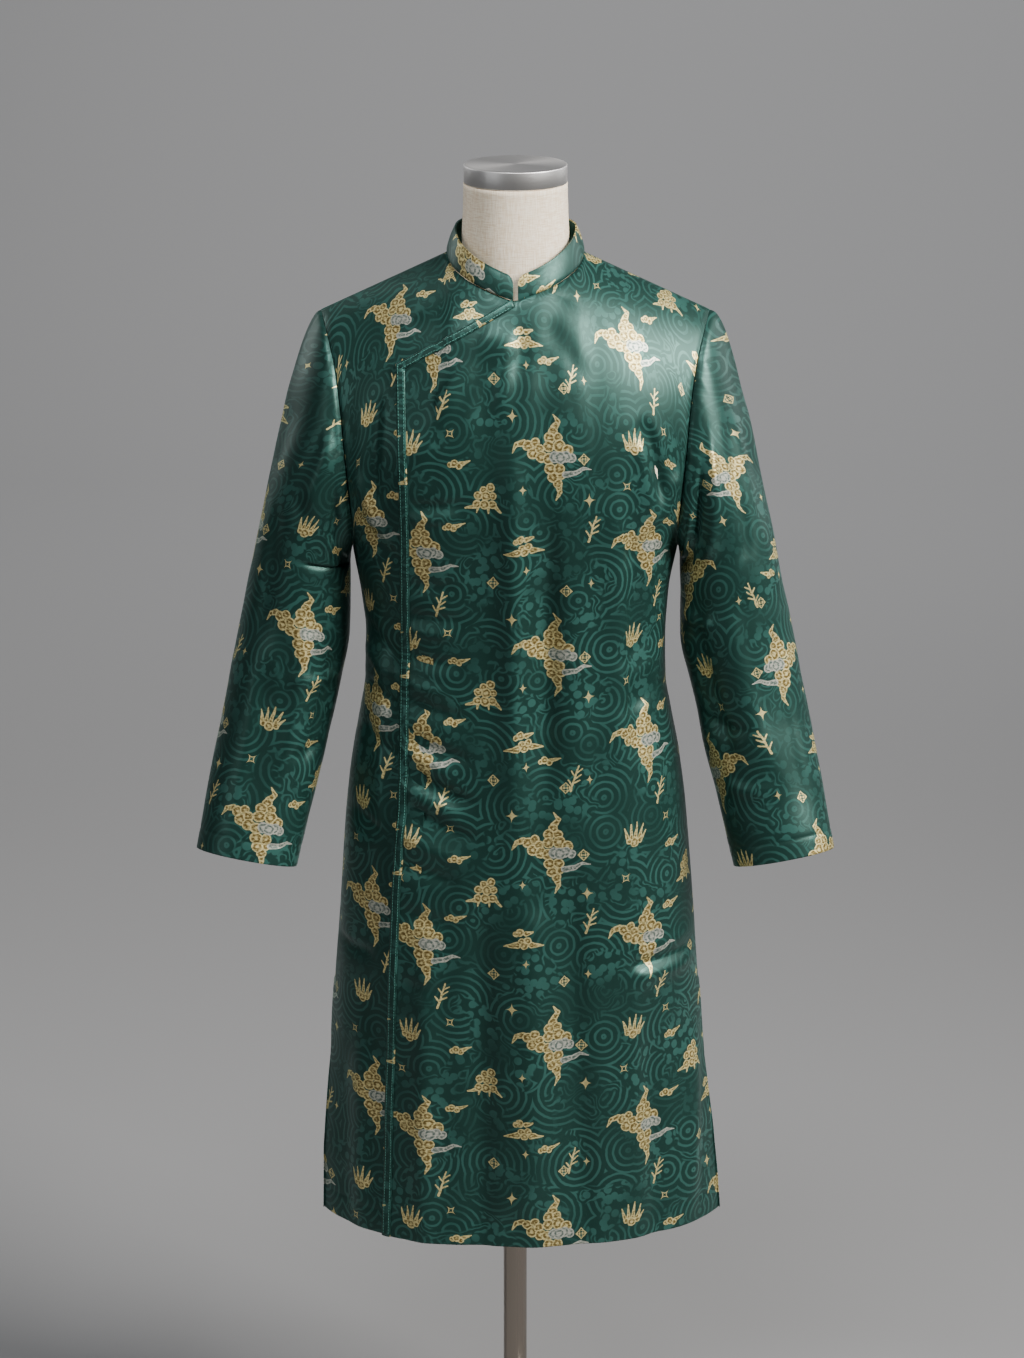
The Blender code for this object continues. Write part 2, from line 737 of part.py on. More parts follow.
def build_sleeve(name, side, nets):
    """Long set-in sleeve, open at the armhole and at the cuff."""
    angles = [180.0 * (1.0 - step) for step in reversed(HOLE_STEPS)]
    angles += [360.0 - a for a in reversed(angles[1:-1])]
    around = len(angles)
    shares = [0.0, 0.05, 0.13, 0.25, 0.40, 0.57, 0.76, 1.0]
    shares += [1.0 + s for s in (0.11, 0.22, 0.34, 0.46, 0.58, 0.70, 0.80, 0.90, 1.0)]
    verts = []
    for share in shares:
        for angle in angles:
            p = sleeve_point(side, share, angle)
            shift = hole_start(nets, side, angle) - hole_point(side, angle)
            p = p + shift * max(1.0 - share, 0.0)
            verts.append(p)
    faces = grid_faces(len(shares), around, True, side > 0)
    item = add_object(name, verts, faces, CLOTH, 0.45, 0.0)
    add_wall(item, WALL)


def collar_base(degrees):
    """Neckline seam, 0 at the front, 90 at the wearer's left, 180 at the back."""
    a = degrees
    side = 1.0
    if a > 180.0:
        a = 360.0 - a
        side = -1.0
    if a <= 90.0:
        p = top_seam(NECK_SHARE * a / 90.0, 1, True)
    else:
        p = top_seam(NECK_SHARE * (180.0 - a) / 90.0, 1, False)
    return np.array((side * p[0], p[1], p[2]))


def collar_point(degrees, share):
    """Collar surface: share 0 at the seam, 1 at the top edge."""
    a = degrees if degrees <= 180.0 else 360.0 - degrees
    side = 1.0 if degrees <= 180.0 else -1.0
    rise = row_value(COLLAR, a, 1)
    lean = row_value(COLLAR, a, 2)
    deep = row_value(COLLAR, a, 3)
    p = collar_base(degrees)
    base = p + np.array((0.0, -0.0006, 0.0022))
    bulge = 0.0012 * math.sin(math.pi * share)
    out = np.array((side * math.sin(math.radians(a)), -math.cos(math.radians(a)), 0.0))
    move = np.array((-side * lean, deep, rise))
    return base + move * share + out * bulge


def build_collar():
    """Stand collar with an open front notch and rounded corners."""
    start = math.degrees(math.asin(COLLAR_NOTCH / NECK_SIDE[0]))
    angles = [start, start + 2.5, start + 6.0]
    angles += spread(start + 14.0, 360.0 - start - 14.0, 25)
    angles += [360.0 - start - 6.0, 360.0 - start - 2.5, 360.0 - start]
    levels = (0.0, 0.34, 0.68, 1.0)
    verts = []
    for level in levels:
        for k, angle in enumerate(angles):
            from_end = min(k, len(angles) - 1 - k)
            drop = (0.30, 0.07, 0.0)[from_end] if from_end < 3 else 0.0
            verts.append(collar_point(angle, level * (1.0 - drop)))
    faces = grid_faces(len(levels), len(angles), False, False)
    item = add_object("collar", verts, faces, CLOTH, 0.45, 0.0)
    add_wall(item, COLLAR_WALL)


def form_room(height):
    """Room between the cloth and the form."""
    return row_value(FORM_ROOM, height, 1)


def form_point(net, share, up, front):
    """Point of the form, inside the cloth."""
    share = share * (1.0 - 0.06 * smooth((up - 1.0) / 0.12) * smooth((abs(share) - 0.4) / 0.4))
    p = net_point(net, share, up)
    n = net_normal(net, share, up, front)
    p = p - n * form_room(p[2])
    limit = row_value(FORM_SIDE, p[2], 1)
    p[0] = min(max(p[0], -limit), limit)
    return p


def build_form(front_net, back_net):
    """Limbless torso with a neck, closed at the arms, the neck top and the bottom."""
    verts = []
    index = {}
    faces = []

    def put(p):
        key = (round(p[0] * 20000), round(p[1] * 20000), round(p[2] * 20000))
        if key not in index:
            index[key] = len(verts)
            verts.append(p)
        return index[key]

    def face(*corners):
        ring = []
        for c in corners:
            if not ring or ring[-1] != c:
                ring.append(c)
        if ring[0] == ring[-1]:
            ring.pop()
        if len(ring) > 2:
            faces.append(tuple(ring))

    start = (FORM_BOTTOM - HEM) / (UNDERARM - HEM)
    ups = spread(start, 1.0, 10) + [1.10, 1.22, 1.36, 1.50, 1.64, 1.76, 1.86, 1.94, 2.0]
    neck_cols = 7
    arm_cols = 6
    shares = spread(0.0, NECK_SHARE, neck_cols) + spread(NECK_SHARE, 1.0, arm_cols + 1)[1:]
    shares = [-s for s in reversed(shares[1:])] + shares
    cols = len(shares)
    front_rows = []
    back_rows = []
    for up in ups:
        row_f = []
        row_b = []
        for s in shares:
            pf = form_point(front_net, s, up, True)
            pb = form_point(back_net, s, up, False)
            if up == 2.0 and abs(s) >= NECK_SHARE - 1e-6:
                mid = (pf + pb) * 0.5
                mid[2] = min(pf[2], pb[2])
                pf = mid
                pb = mid.copy()
            if abs(s) == 1.0 and up <= 1.0:
                mid = (pf + pb) * 0.5
                mid[0] = math.copysign(min(abs(pf[0]), abs(pb[0])), s)
                pf = mid
                pb = mid.copy()
            if up == ups[0]:
                pf[2] = FORM_BOTTOM
                pb[2] = FORM_BOTTOM
            row_f.append(pf)
            row_b.append(pb)
        front_rows.append(row_f)
        back_rows.append(row_b)
    for j in range(len(ups) - 1):
        for i in range(cols - 1):
            f = front_rows
            b = back_rows
            face(put(f[j][i]), put(f[j][i + 1]), put(f[j + 1][i + 1]), put(f[j + 1][i]))
            face(put(b[j][i + 1]), put(b[j][i]), put(b[j + 1][i]), put(b[j + 1][i + 1]))
    base = len(spread(start, 1.0, 10)) - 1
    across = 6
    for side, col in ((-1.0, 0), (1.0, cols - 1)):
        plate = []
        for j in range(base, len(ups)):
            pf = front_rows[j][col]
            pb = back_rows[j][col]
            line = []
            for k in range(across + 1):
                t = k / across
                p = pf * (1 - t) + pb * t
                v = (j - base) / (len(ups) - 1 - base)
                p = p + np.array((side * 0.004 * math.sin(math.pi * t) * math.sin(math.pi * v), 0.0, 0.0))
                line.append(p)
            plate.append(line)
        for j in range(len(plate) - 1):
            for k in range(across):
                a = put(plate[j][k])
                b = put(plate[j][k + 1])
                c = put(plate[j + 1][k + 1])
                d = put(plate[j + 1][k])
                if side > 0:
                    face(a, b, c, d)
                else:
                    face(b, a, d, c)
    neck_index = [i for i in range(cols) if abs(shares[i]) <= NECK_SHARE + 1e-6]
    loop = [front_rows[-1][i] for i in neck_index]
    loop += [back_rows[-1][i] for i in reversed(neck_index[1:-1])]
    rings = [loop]
    total = len(loop)
    for low, high, half, deep, middle in NECK_RINGS:
        ring = []
        for p in loop:
            a = math.atan2(p[0] / NECK_SIDE[0], -(p[1] + 0.004) / 0.074)
            z = low + (high - low) * (1 - math.cos(a)) * 0.5
            ring.append(np.array((half * math.sin(a), middle - deep * math.cos(a), z)))
        rings.append(ring)
    for r in range(len(rings) - 1):
        for k in range(total):
            n = (k + 1) % total
            face(put(rings[r][k]), put(rings[r][n]), put(rings[r + 1][n]), put(rings[r + 1][k]))
    faces.append(tuple(put(p) for p in rings[-1]))
    bottom = [front_rows[0][i] for i in range(cols)]
    bottom += [back_rows[0][i] for i in range(cols - 2, 0, -1)]
    faces.append(tuple(put(p) for p in reversed(bottom)))
    add_object("dress_form", verts, faces, LINEN, 0.85, 0.0)


def add_round(name, radius, low, high, bevel, color, roughness, sides):
    """Round bar or plate with softened rims."""
    profile = [(radius - bevel, low), (radius, low + bevel), (radius, high - bevel), (radius - bevel, high)]
    if bevel > 0.0:
        mid = bevel * 0.293
        profile = [
            (radius - bevel, low),
            (radius - mid, low + mid),
            (radius, low + bevel),
            (radius, high - bevel),
            (radius - mid, high - mid),
            (radius - bevel, high),
        ]
    verts = []
    for r, z in profile:
        for k in range(sides):
            a = 2.0 * math.pi * k / sides
            verts.append((r * math.cos(a), r * math.sin(a), z))
    faces = grid_faces(len(profile), sides, True, False)
    faces.append(tuple(reversed(range(sides))))
    last = (len(profile) - 1) * sides
    faces.append(tuple(range(last, last + sides)))
    return add_object(name, verts, faces, color, roughness, 1.0)


remove_scene_objects()
part_collection = bpy.data.collections.new("ao_dai_tunic")
bpy.context.scene.collection.children.link(part_collection)

front_net = make_lattice(True)
back_net = make_lattice(False)
front_rows = build_front(front_net)
build_strip(front_net, front_rows)
build_under_front(front_net)
build_back(back_net)
build_sleeve("sleeve_right", -1.0, (front_net, back_net))
build_sleeve("sleeve_left", 1.0, (front_net, back_net))
build_collar()
build_form(front_net, back_net)
add_round("neck_cap", CAP_RADIUS, CAP_BOTTOM, CAP_TOP, CAP_BEVEL, STEEL, 0.3, 64)
add_round("pole", POLE_RADIUS, BASE_HEIGHT + PART_GAP, FORM_BOTTOM - PART_GAP, 0.0008, STEEL, 0.3, 32)
add_round("base_plate", BASE_RADIUS, 0.0, BASE_HEIGHT, BASE_BEVEL, STEEL, 0.35, 72)
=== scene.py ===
"""Look of the ao dai tunic on its dress form, in metres, +Z up, front facing -Y.

Every panel is a thin shell laid on the form of its solid, with its folds placed one by one.
"""

import math
import bpy
import numpy as np
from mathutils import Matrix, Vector


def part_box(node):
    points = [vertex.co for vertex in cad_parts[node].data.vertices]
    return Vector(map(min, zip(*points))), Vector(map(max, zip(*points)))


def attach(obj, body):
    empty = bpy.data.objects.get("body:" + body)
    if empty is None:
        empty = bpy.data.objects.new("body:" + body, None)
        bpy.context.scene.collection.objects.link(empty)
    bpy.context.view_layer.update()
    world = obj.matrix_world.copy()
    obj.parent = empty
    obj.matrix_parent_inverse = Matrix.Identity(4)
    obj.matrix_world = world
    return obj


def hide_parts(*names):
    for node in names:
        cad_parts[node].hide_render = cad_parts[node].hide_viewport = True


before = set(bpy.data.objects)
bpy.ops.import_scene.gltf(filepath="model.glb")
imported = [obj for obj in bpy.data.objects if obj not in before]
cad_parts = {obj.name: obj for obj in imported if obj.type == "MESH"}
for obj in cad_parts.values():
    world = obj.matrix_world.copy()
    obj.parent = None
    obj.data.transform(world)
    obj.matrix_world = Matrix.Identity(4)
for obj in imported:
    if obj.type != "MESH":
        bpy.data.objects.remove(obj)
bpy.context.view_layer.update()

# Sizes taken from the solids
FRONT_LOW, FRONT_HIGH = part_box("front")
FORM_LOW, FORM_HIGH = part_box("dress_form")
CAP_LOW, CAP_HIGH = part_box("neck_cap")
POLE_LOW, POLE_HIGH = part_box("pole")
BASE_LOW, BASE_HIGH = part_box("base_plate")

# Cloth
CLOTH_THICK = 0.0009
COLLAR_THICK = 0.0018
STRIP_THICK = 0.0011
STRIP_WIDTH = 0.0092
STRIP_WIDTH_SLANTED = 0.0075
STRIP_RISE = 0.0019
FLAP_RISE = 0.0030
SIDE_GAP = 0.0012
STEP = 0.0046
SEAM_DIP = 0.0013
SEAM_REACH = 0.0042
HEM_DEPTH = 0.028
CREASE_DEPTH = 1.8

# Heights
HEM = 0.380
SLIT_TOP = 0.672
UNDERARM = 1.195
SLIT_OPEN = 0.0045
FORM_BOTTOM = 0.745

# Horizontal sections of the body from the hem to the underarm.
# height, half width on the wearer's right, on the wearer's left, front, back, side seam depth,
# degrees of the quarter turn that the front covers, fullness of the curve
BODY = (
    (0.380, 0.2293, 0.2443, -0.143, 0.120, -0.024, 66.0, 2.25),
    (0.470, 0.2265, 0.2365, -0.139, 0.121, -0.019, 70.0, 2.15),
    (0.570, 0.2191, 0.2244, -0.136, 0.122, -0.012, 76.0, 2.2),
    (0.670, 0.2131, 0.2159, -0.133, 0.123, -0.006, 82.0, 2.25),
    (0.770, 0.2045, 0.2080, -0.130, 0.125, -0.002, 88.0, 2.3),
    (0.870, 0.1975, 0.1993, -0.126, 0.124, 0.000, 90.0, 2.3),
    (0.945, 0.1888, 0.1900, -0.121, 0.117, 0.000, 90.0, 2.3),
    (0.993, 0.1802, 0.1805, -0.118, 0.110, 0.000, 90.0, 2.3),
    (1.040, 0.1728, 0.1732, -0.116, 0.105, 0.000, 90.0, 2.3),
    (1.090, 0.1716, 0.1722, -0.116, 0.103, 0.000, 90.0, 2.3),
    (1.140, 0.1768, 0.1750, -0.118, 0.105, 0.000, 90.0, 2.3),
    (1.195, 0.1857, 0.1855, -0.121, 0.109, 0.000, 90.0, 2.35),
)

# Armhole seam from the underarm to the shoulder point: share, half width, depth, height
ARMHOLE_FRONT = (
    (0.00, 0.1857, 0.000, 1.195),
    (0.10, 0.1838, -0.030, 1.199),
    (0.22, 0.1828, -0.056, 1.217),
    (0.38, 0.1868, -0.070, 1.262),
    (0.54, 0.1915, -0.072, 1.312),
    (0.69, 0.1955, -0.066, 1.360),
    (0.83, 0.2021, -0.052, 1.407),
    (0.93, 0.2115, -0.028, 1.443),
    (1.00, 0.2195, 0.004, 1.4655),
)
ARMHOLE_BACK = (
    (0.00, 0.1857, 0.000, 1.195),
    (0.10, 0.1845, 0.028, 1.201),
    (0.22, 0.1840, 0.052, 1.222),
    (0.38, 0.1872, 0.070, 1.265),
    (0.54, 0.1915, 0.077, 1.315),
    (0.69, 0.1965, 0.074, 1.364),
    (0.83, 0.2035, 0.062, 1.410),
    (0.93, 0.2120, 0.038, 1.446),
    (1.00, 0.2195, 0.004, 1.4655),
)

# Neckline and shoulder seam
NECK_SHARE = 0.36
NECK_FRONT = (0.0, -0.078, 1.4900)
NECK_SIDE = (0.0775, 0.004, 1.5315)
NECK_BACK = (0.0, 0.064, 1.5350)
SHOULDER_POINT = (0.2195, 0.004, 1.4655)

# How each column leaves the underarm section and reaches the top seam.
# share across, start depth pull, start rise, end depth pull, end rise
FRONT_COLUMNS = (
    (0.00, -0.035, 0.33, 0.130, 0.24),
    (0.10, -0.037, 0.33, 0.155, 0.23),
    (0.20, -0.038, 0.34, 0.234, 0.20),
    (0.30, -0.040, 0.34, 0.332, 0.16),
    (0.36, -0.040, 0.34, 0.385, 0.13),
    (0.50, -0.045, 0.34, 0.371, 0.12),
    (0.70, -0.048, 0.34, 0.350, 0.10),
    (1.00, -0.060, 0.30, 0.350, 0.10),
)
BACK_COLUMNS = (
    (0.00, 0.070, 0.36, -0.160, 0.24),
    (0.20, 0.075, 0.36, -0.250, 0.20),
    (0.30, 0.075, 0.36, -0.327, 0.16),
    (0.36, 0.075, 0.36, -0.365, 0.13),
    (0.50, 0.075, 0.36, -0.357, 0.12),
    (0.70, 0.075, 0.35, -0.335, 0.10),
    (1.00, 0.070, 0.30, -0.350, 0.10),
)

# Sleeve sections square to the arm, wearer's left: share, outer side and height,
# inner side and height, depth of the middle, half depth, forward tilt
SLEEVE = (
    (0.00, 0.2965, 1.197, 0.1893, 1.172, 0.000, 0.0700, 0.02),
    (0.22, 0.3145, 1.113, 0.1905, 1.089, -0.003, 0.0670, 0.05),
    (0.35, 0.3245, 1.065, 0.2000, 1.041, -0.007, 0.0645, 0.08),
    (0.48, 0.3340, 1.019, 0.2105, 0.995, -0.013, 0.0620, 0.12),
    (0.62, 0.3430, 0.974, 0.2210, 0.949, -0.021, 0.0590, 0.16),
    (0.75, 0.3525, 0.929, 0.2325, 0.904, -0.030, 0.0560, 0.19),
    (0.88, 0.3610, 0.884, 0.2440, 0.860, -0.041, 0.0530, 0.21),
    (1.00, 0.3685, 0.8435, 0.2535, 0.8205, -0.052, 0.0505, 0.23),
)
# How the sleeve head leaves the armhole, by degrees from the shoulder point over the front:
# pull out, pull in depth, pull down, end length
HEAD = (
    (0.0, 0.075, 0.000, -0.030, 0.28),
    (50.0, 0.060, -0.045, -0.030, 0.20),
    (90.0, 0.045, -0.040, -0.030, 0.12),
    (140.0, 0.020, -0.015, -0.020, 0.05),
    (180.0, 0.006, 0.000, -0.010, 0.02),
    (220.0, 0.020, 0.015, -0.020, 0.05),
    (270.0, 0.045, 0.040, -0.030, 0.12),
    (310.0, 0.060, 0.045, -0.030, 0.20),
    (360.0, 0.075, 0.000, -0.030, 0.28),
)

# Free edge of the flap: height, distance from the middle
FLAP = (
    (0.380, -0.1545),
    (0.624, -0.1470),
    (0.806, -0.1400),
    (0.935, -0.1312),
    (1.159, -0.1272),
    (1.420, -0.1312),
)
FLAP_CORNER = (-0.1312, 1.4200)
FLAP_END = (-0.0045, 1.4915)

# Covered edge of the under front: share across at a share of the way up
UNDER_EDGE = (
    (0.00, -0.42),
    (1.00, -0.40),
    (1.66, -0.34),
    (1.80, -0.16),
    (1.90, -0.05),
    (2.00, -0.012),
)

# Large folds of the solids: start across and height, end across and height, half width, rise
FRONT_FOLDS = (
    (0.005, 1.40, 0.000, 0.44, 0.020, 0.0035),
    (0.035, 1.16, 0.030, 0.80, 0.018, -0.0030),
    (0.120, 1.18, 0.150, 0.42, 0.024, 0.0030),
    (0.165, 1.30, 0.175, 1.20, 0.016, -0.0030),
    (0.150, 0.700, 0.215, 0.715, 0.014, 0.0030),
    (-0.010, 1.46, -0.105, 1.33, 0.018, 0.0025),
    (-0.085, 0.96, -0.075, 0.42, 0.022, -0.0025),
    (-0.185, 1.10, -0.200, 0.46, 0.022, 0.0025),
)
BACK_FOLDS = (
    (0.000, 1.10, 0.000, 0.44, 0.024, -0.0035),
    (0.080, 1.16, 0.095, 0.42, 0.026, 0.0030),
    (-0.085, 1.14, -0.100, 0.42, 0.026, 0.0030),
    (0.150, 1.33, 0.060, 1.20, 0.020, 0.0025),
    (-0.150, 1.33, -0.060, 1.20, 0.020, 0.0025),
)

# Finer creases: start, middle and end across and height, half width, rise, lean to one side
FRONT_CREASES = (
    (-0.124, 1.268, -0.090, 1.262, -0.045, 1.275, 0.0070, -0.0022, 0.3),
    (-0.124, 1.250, -0.095, 1.250, -0.060, 1.256, 0.0060, 0.0018, -0.3),
    (-0.126, 1.175, -0.100, 1.165, -0.060, 1.178, 0.0080, -0.0016, 0.2),
    (-0.126, 1.140, -0.095, 1.128, -0.050, 1.138, 0.0070, -0.0020, 0.4),
    (-0.126, 1.120, -0.100, 1.112, -0.062, 1.118, 0.0060, 0.0016, 0.0),
    (-0.127, 1.092, -0.095, 1.078, -0.050, 1.082, 0.0080, -0.0022, 0.3),
    (-0.127, 1.060, -0.100, 1.046, -0.065, 1.046, 0.0060, 0.0016, 0.2),
    (-0.127, 1.040, -0.095, 1.022, -0.045, 1.018, 0.0070, -0.0022, 0.4),
    (-0.128, 1.000, -0.092, 0.978, -0.040, 0.966, 0.0080, -0.0026, 0.4),
    (-0.129, 0.980, -0.100, 0.960, -0.062, 0.948, 0.0060, 0.0020, 0.0),
    (-0.130, 0.960, -0.095, 0.934, -0.035, 0.915, 0.0085, -0.0034, 0.5),
    (-0.131, 0.938, -0.100, 0.915, -0.055, 0.900, 0.0060, 0.0022, 0.0),
    (-0.132, 0.915, -0.095, 0.890, -0.030, 0.872, 0.0090, -0.0034, 0.5),
    (-0.134, 0.880, -0.100, 0.860, -0.050, 0.846, 0.0080, 0.0022, 0.0),
    (-0.136, 0.850, -0.105, 0.832, -0.060, 0.822, 0.0080, -0.0022, 0.3),
    (-0.139, 0.790, -0.105, 0.775, -0.060, 0.770, 0.0100, -0.0016, 0.2),
    (-0.142, 0.700, -0.112, 0.690, -0.070, 0.690, 0.0110, -0.0013, 0.2),
    (-0.012, 1.470, -0.050, 1.430, -0.100, 1.350, 0.0120, 0.0022, -0.4),
    (-0.020, 1.455, -0.055, 1.405, -0.090, 1.320, 0.0100, -0.0018, 0.2),
    (-0.004, 1.466, -0.015, 1.420, -0.018, 1.360, 0.0080, 0.0018, 0.0),
    (0.010, 1.470, 0.008, 1.430, 0.004, 1.380, 0.0060, -0.0014, 0.0),
    (0.028, 1.475, 0.060, 1.440, 0.080, 1.400, 0.0110, -0.0012, 0.0),
    (-0.006, 1.400, 0.000, 1.150, -0.004, 0.840, 0.0140, 0.0040, 0.2),
    (0.034, 1.300, 0.040, 1.120, 0.034, 0.900, 0.0150, -0.0042, 0.3),
    (0.070, 1.230, 0.066, 1.080, 0.072, 0.900, 0.0180, 0.0018, 0.0),
    (0.112, 1.320, 0.118, 1.150, 0.120, 0.900, 0.0120, 0.0026, 0.6),
    (0.130, 1.300, 0.136, 1.120, 0.140, 0.930, 0.0110, -0.0024, 0.3),
    (0.140, 1.365, 0.160, 1.320, 0.168, 1.250, 0.0080, -0.0032, 0.5),
    (0.134, 1.350, 0.150, 1.300, 0.156, 1.230, 0.0080, 0.0026, 0.0),
    (0.186, 1.300, 0.172, 1.270, 0.150, 1.215, 0.0080, 0.0022, 0.0),
    (0.178, 1.250, 0.150, 1.215, 0.118, 1.190, 0.0085, -0.0018, 0.3),
    (0.172, 1.120, 0.140, 1.085, 0.100, 1.075, 0.0100, -0.0012, 0.3),
    (0.172, 1.085, 0.150, 1.062, 0.120, 1.052, 0.0080, 0.0009, 0.0),
    (0.172, 1.050, 0.145, 1.025, 0.108, 1.018, 0.0100, -0.0012, 0.3),
    (0.120, 0.722, 0.165, 0.716, 0.216, 0.722, 0.0065, -0.0030, 0.5),
    (0.130, 0.736, 0.170, 0.733, 0.214, 0.742, 0.0085, 0.0016, 0.0),
    (0.130, 0.706, 0.170, 0.700, 0.214, 0.702, 0.0085, 0.0014, 0.0),
    (0.205, 0.640, 0.212, 0.520, 0.205, 0.360, 0.0110, 0.0034, 0.4),
    (0.150, 0.700, 0.168, 0.500, 0.166, 0.300, 0.0140, -0.0036, 0.0),
    (0.056, 0.900, 0.074, 0.600, 0.080, 0.300, 0.0190, -0.0042, 0.2),
    (0.016, 0.860, 0.024, 0.580, 0.020, 0.300, 0.0190, 0.0040, 0.0),
    (-0.040, 0.860, -0.036, 0.560, -0.042, 0.300, 0.0180, -0.0040, 0.2),
    (-0.100, 0.800, -0.106, 0.560, -0.108, 0.300, 0.0140, 0.0032, 0.0),
)
UNDER_CREASES = (
    (-0.184, 1.300, -0.168, 1.270, -0.146, 1.215, 0.0080, 0.0022, 0.0),
    (-0.180, 1.250, -0.156, 1.220, -0.128, 1.190, 0.0085, -0.0020, 0.3),
    (-0.150, 1.400, -0.160, 1.330, -0.158, 1.250, 0.0080, -0.0022, 0.4),
    (-0.172, 1.120, -0.150, 1.090, -0.124, 1.080, 0.0080, -0.0018, 0.3),
    (-0.172, 1.085, -0.152, 1.062, -0.128, 1.055, 0.0070, 0.0018, 0.0),
    (-0.172, 1.050, -0.152, 1.030, -0.126, 1.024, 0.0080, -0.0020, 0.3),
    (-0.178, 1.000, -0.156, 0.975, -0.130, 0.962, 0.0080, -0.0022, 0.3),
    (-0.192, 0.900, -0.172, 0.880, -0.144, 0.872, 0.0090, -0.0018, 0.3),
    (-0.150, 1.180, -0.152, 1.000, -0.158, 0.800, 0.0090, 0.0020, 0.3),
    (-0.210, 0.730, -0.186, 0.722, -0.160, 0.728, 0.0070, -0.0026, 0.4),
    (-0.196, 0.640, -0.204, 0.500, -0.200, 0.340, 0.0110, -0.0022, 0.2),
    (-0.176, 0.680, -0.178, 0.520, -0.182, 0.340, 0.0100, 0.0024, 0.0),
)
BACK_CREASES = (
    (0.186, 1.300, 0.160, 1.270, 0.110, 1.235, 0.0100, -0.0026, 0.3),
    (-0.186, 1.310, -0.156, 1.275, -0.120, 1.240, 0.0095, -0.0022, 0.3),
    (0.190, 1.340, 0.168, 1.310, 0.140, 1.280, 0.0080, 0.0018, 0.0),
    (-0.190, 1.335, -0.165, 1.300, -0.135, 1.285, 0.0085, 0.0020, 0.0),
    (0.172, 1.120, 0.120, 1.085, 0.040, 1.090, 0.0100, -0.0024, 0.3),
    (-0.172, 1.100, -0.110, 1.070, -0.030, 1.078, 0.0100, -0.0026, 0.3),
    (0.172, 1.060, 0.130, 1.035, 0.060, 1.040, 0.0085, -0.0020, 0.2),
    (-0.172, 1.045, -0.130, 1.022, -0.070, 1.020, 0.0085, -0.0020, 0.2),
    (0.178, 1.010, 0.140, 0.990, 0.090, 0.985, 0.0080, 0.0016, 0.0),
    (-0.178, 1.000, -0.140, 0.976, -0.080, 0.972, 0.0080, 0.0018, 0.0),
    (0.020, 1.480, 0.015, 1.440, 0.018, 1.400, 0.0110, 0.0012, 0.0),
    (0.040, 0.900, 0.046, 0.600, 0.044, 0.330, 0.0180, 0.0030, 0.3),
    (-0.046, 0.880, -0.040, 0.600, -0.050, 0.330, 0.0170, 0.0026, 0.3),
    (0.140, 0.860, 0.150, 0.600, 0.156, 0.330, 0.0170, -0.0026, 0.2),
    (-0.138, 0.880, -0.148, 0.600, -0.150, 0.330, 0.0170, -0.0028, 0.2),
    (-0.190, 0.700, -0.196, 0.520, -0.200, 0.330, 0.0120, 0.0024, 0.0),
    (0.190, 0.700, 0.198, 0.520, 0.204, 0.330, 0.0120, 0.0026, 0.0),
)

# Sleeve creases on the unrolled sleeve, in metres: round from the shoulder line over the
# front, down from the armhole seam; start, middle, end, half width, rise, lean
SLEEVE_RIGHT_CREASES = (
    (0.060, 0.040, 0.080, 0.130, 0.076, 0.240, 0.0140, 0.0034, 0.2),
    (0.096, 0.070, 0.118, 0.160, 0.122, 0.260, 0.0090, -0.0034, 0.4),
    (0.118, 0.180, 0.130, 0.270, 0.124, 0.380, 0.0100, 0.0032, 0.0),
    (0.140, 0.190, 0.154, 0.280, 0.146, 0.380, 0.0090, -0.0032, 0.3),
    (0.040, 0.250, 0.060, 0.360, 0.050, 0.480, 0.0150, -0.0026, 0.3),
    (0.086, 0.400, 0.118, 0.500, 0.108, 0.640, 0.0120, 0.0036, 0.3),
    (0.130, 0.420, 0.146, 0.520, 0.132, 0.620, 0.0100, -0.0034, 0.3),
    (0.066, 0.460, 0.086, 0.560, 0.080, 0.700, 0.0110, -0.0026, 0.2),
    (0.160, 0.330, 0.120, 0.360, 0.080, 0.350, 0.0080, -0.0024, 0.3),
    (0.166, 0.470, 0.130, 0.500, 0.092, 0.486, 0.0080, 0.0022, 0.0),
    (0.160, 0.560, 0.136, 0.590, 0.100, 0.584, 0.0075, -0.0020, 0.3),
    (0.230, 0.100, 0.260, 0.200, 0.240, 0.320, 0.0130, -0.0030, 0.2),
    (0.280, 0.060, 0.290, 0.200, 0.280, 0.340, 0.0130, 0.0028, 0.0),
    (0.220, 0.420, 0.250, 0.500, 0.236, 0.640, 0.0120, 0.0030, 0.2),
    (0.200, 0.360, 0.240, 0.380, 0.280, 0.360, 0.0090, -0.0024, 0.3),
)
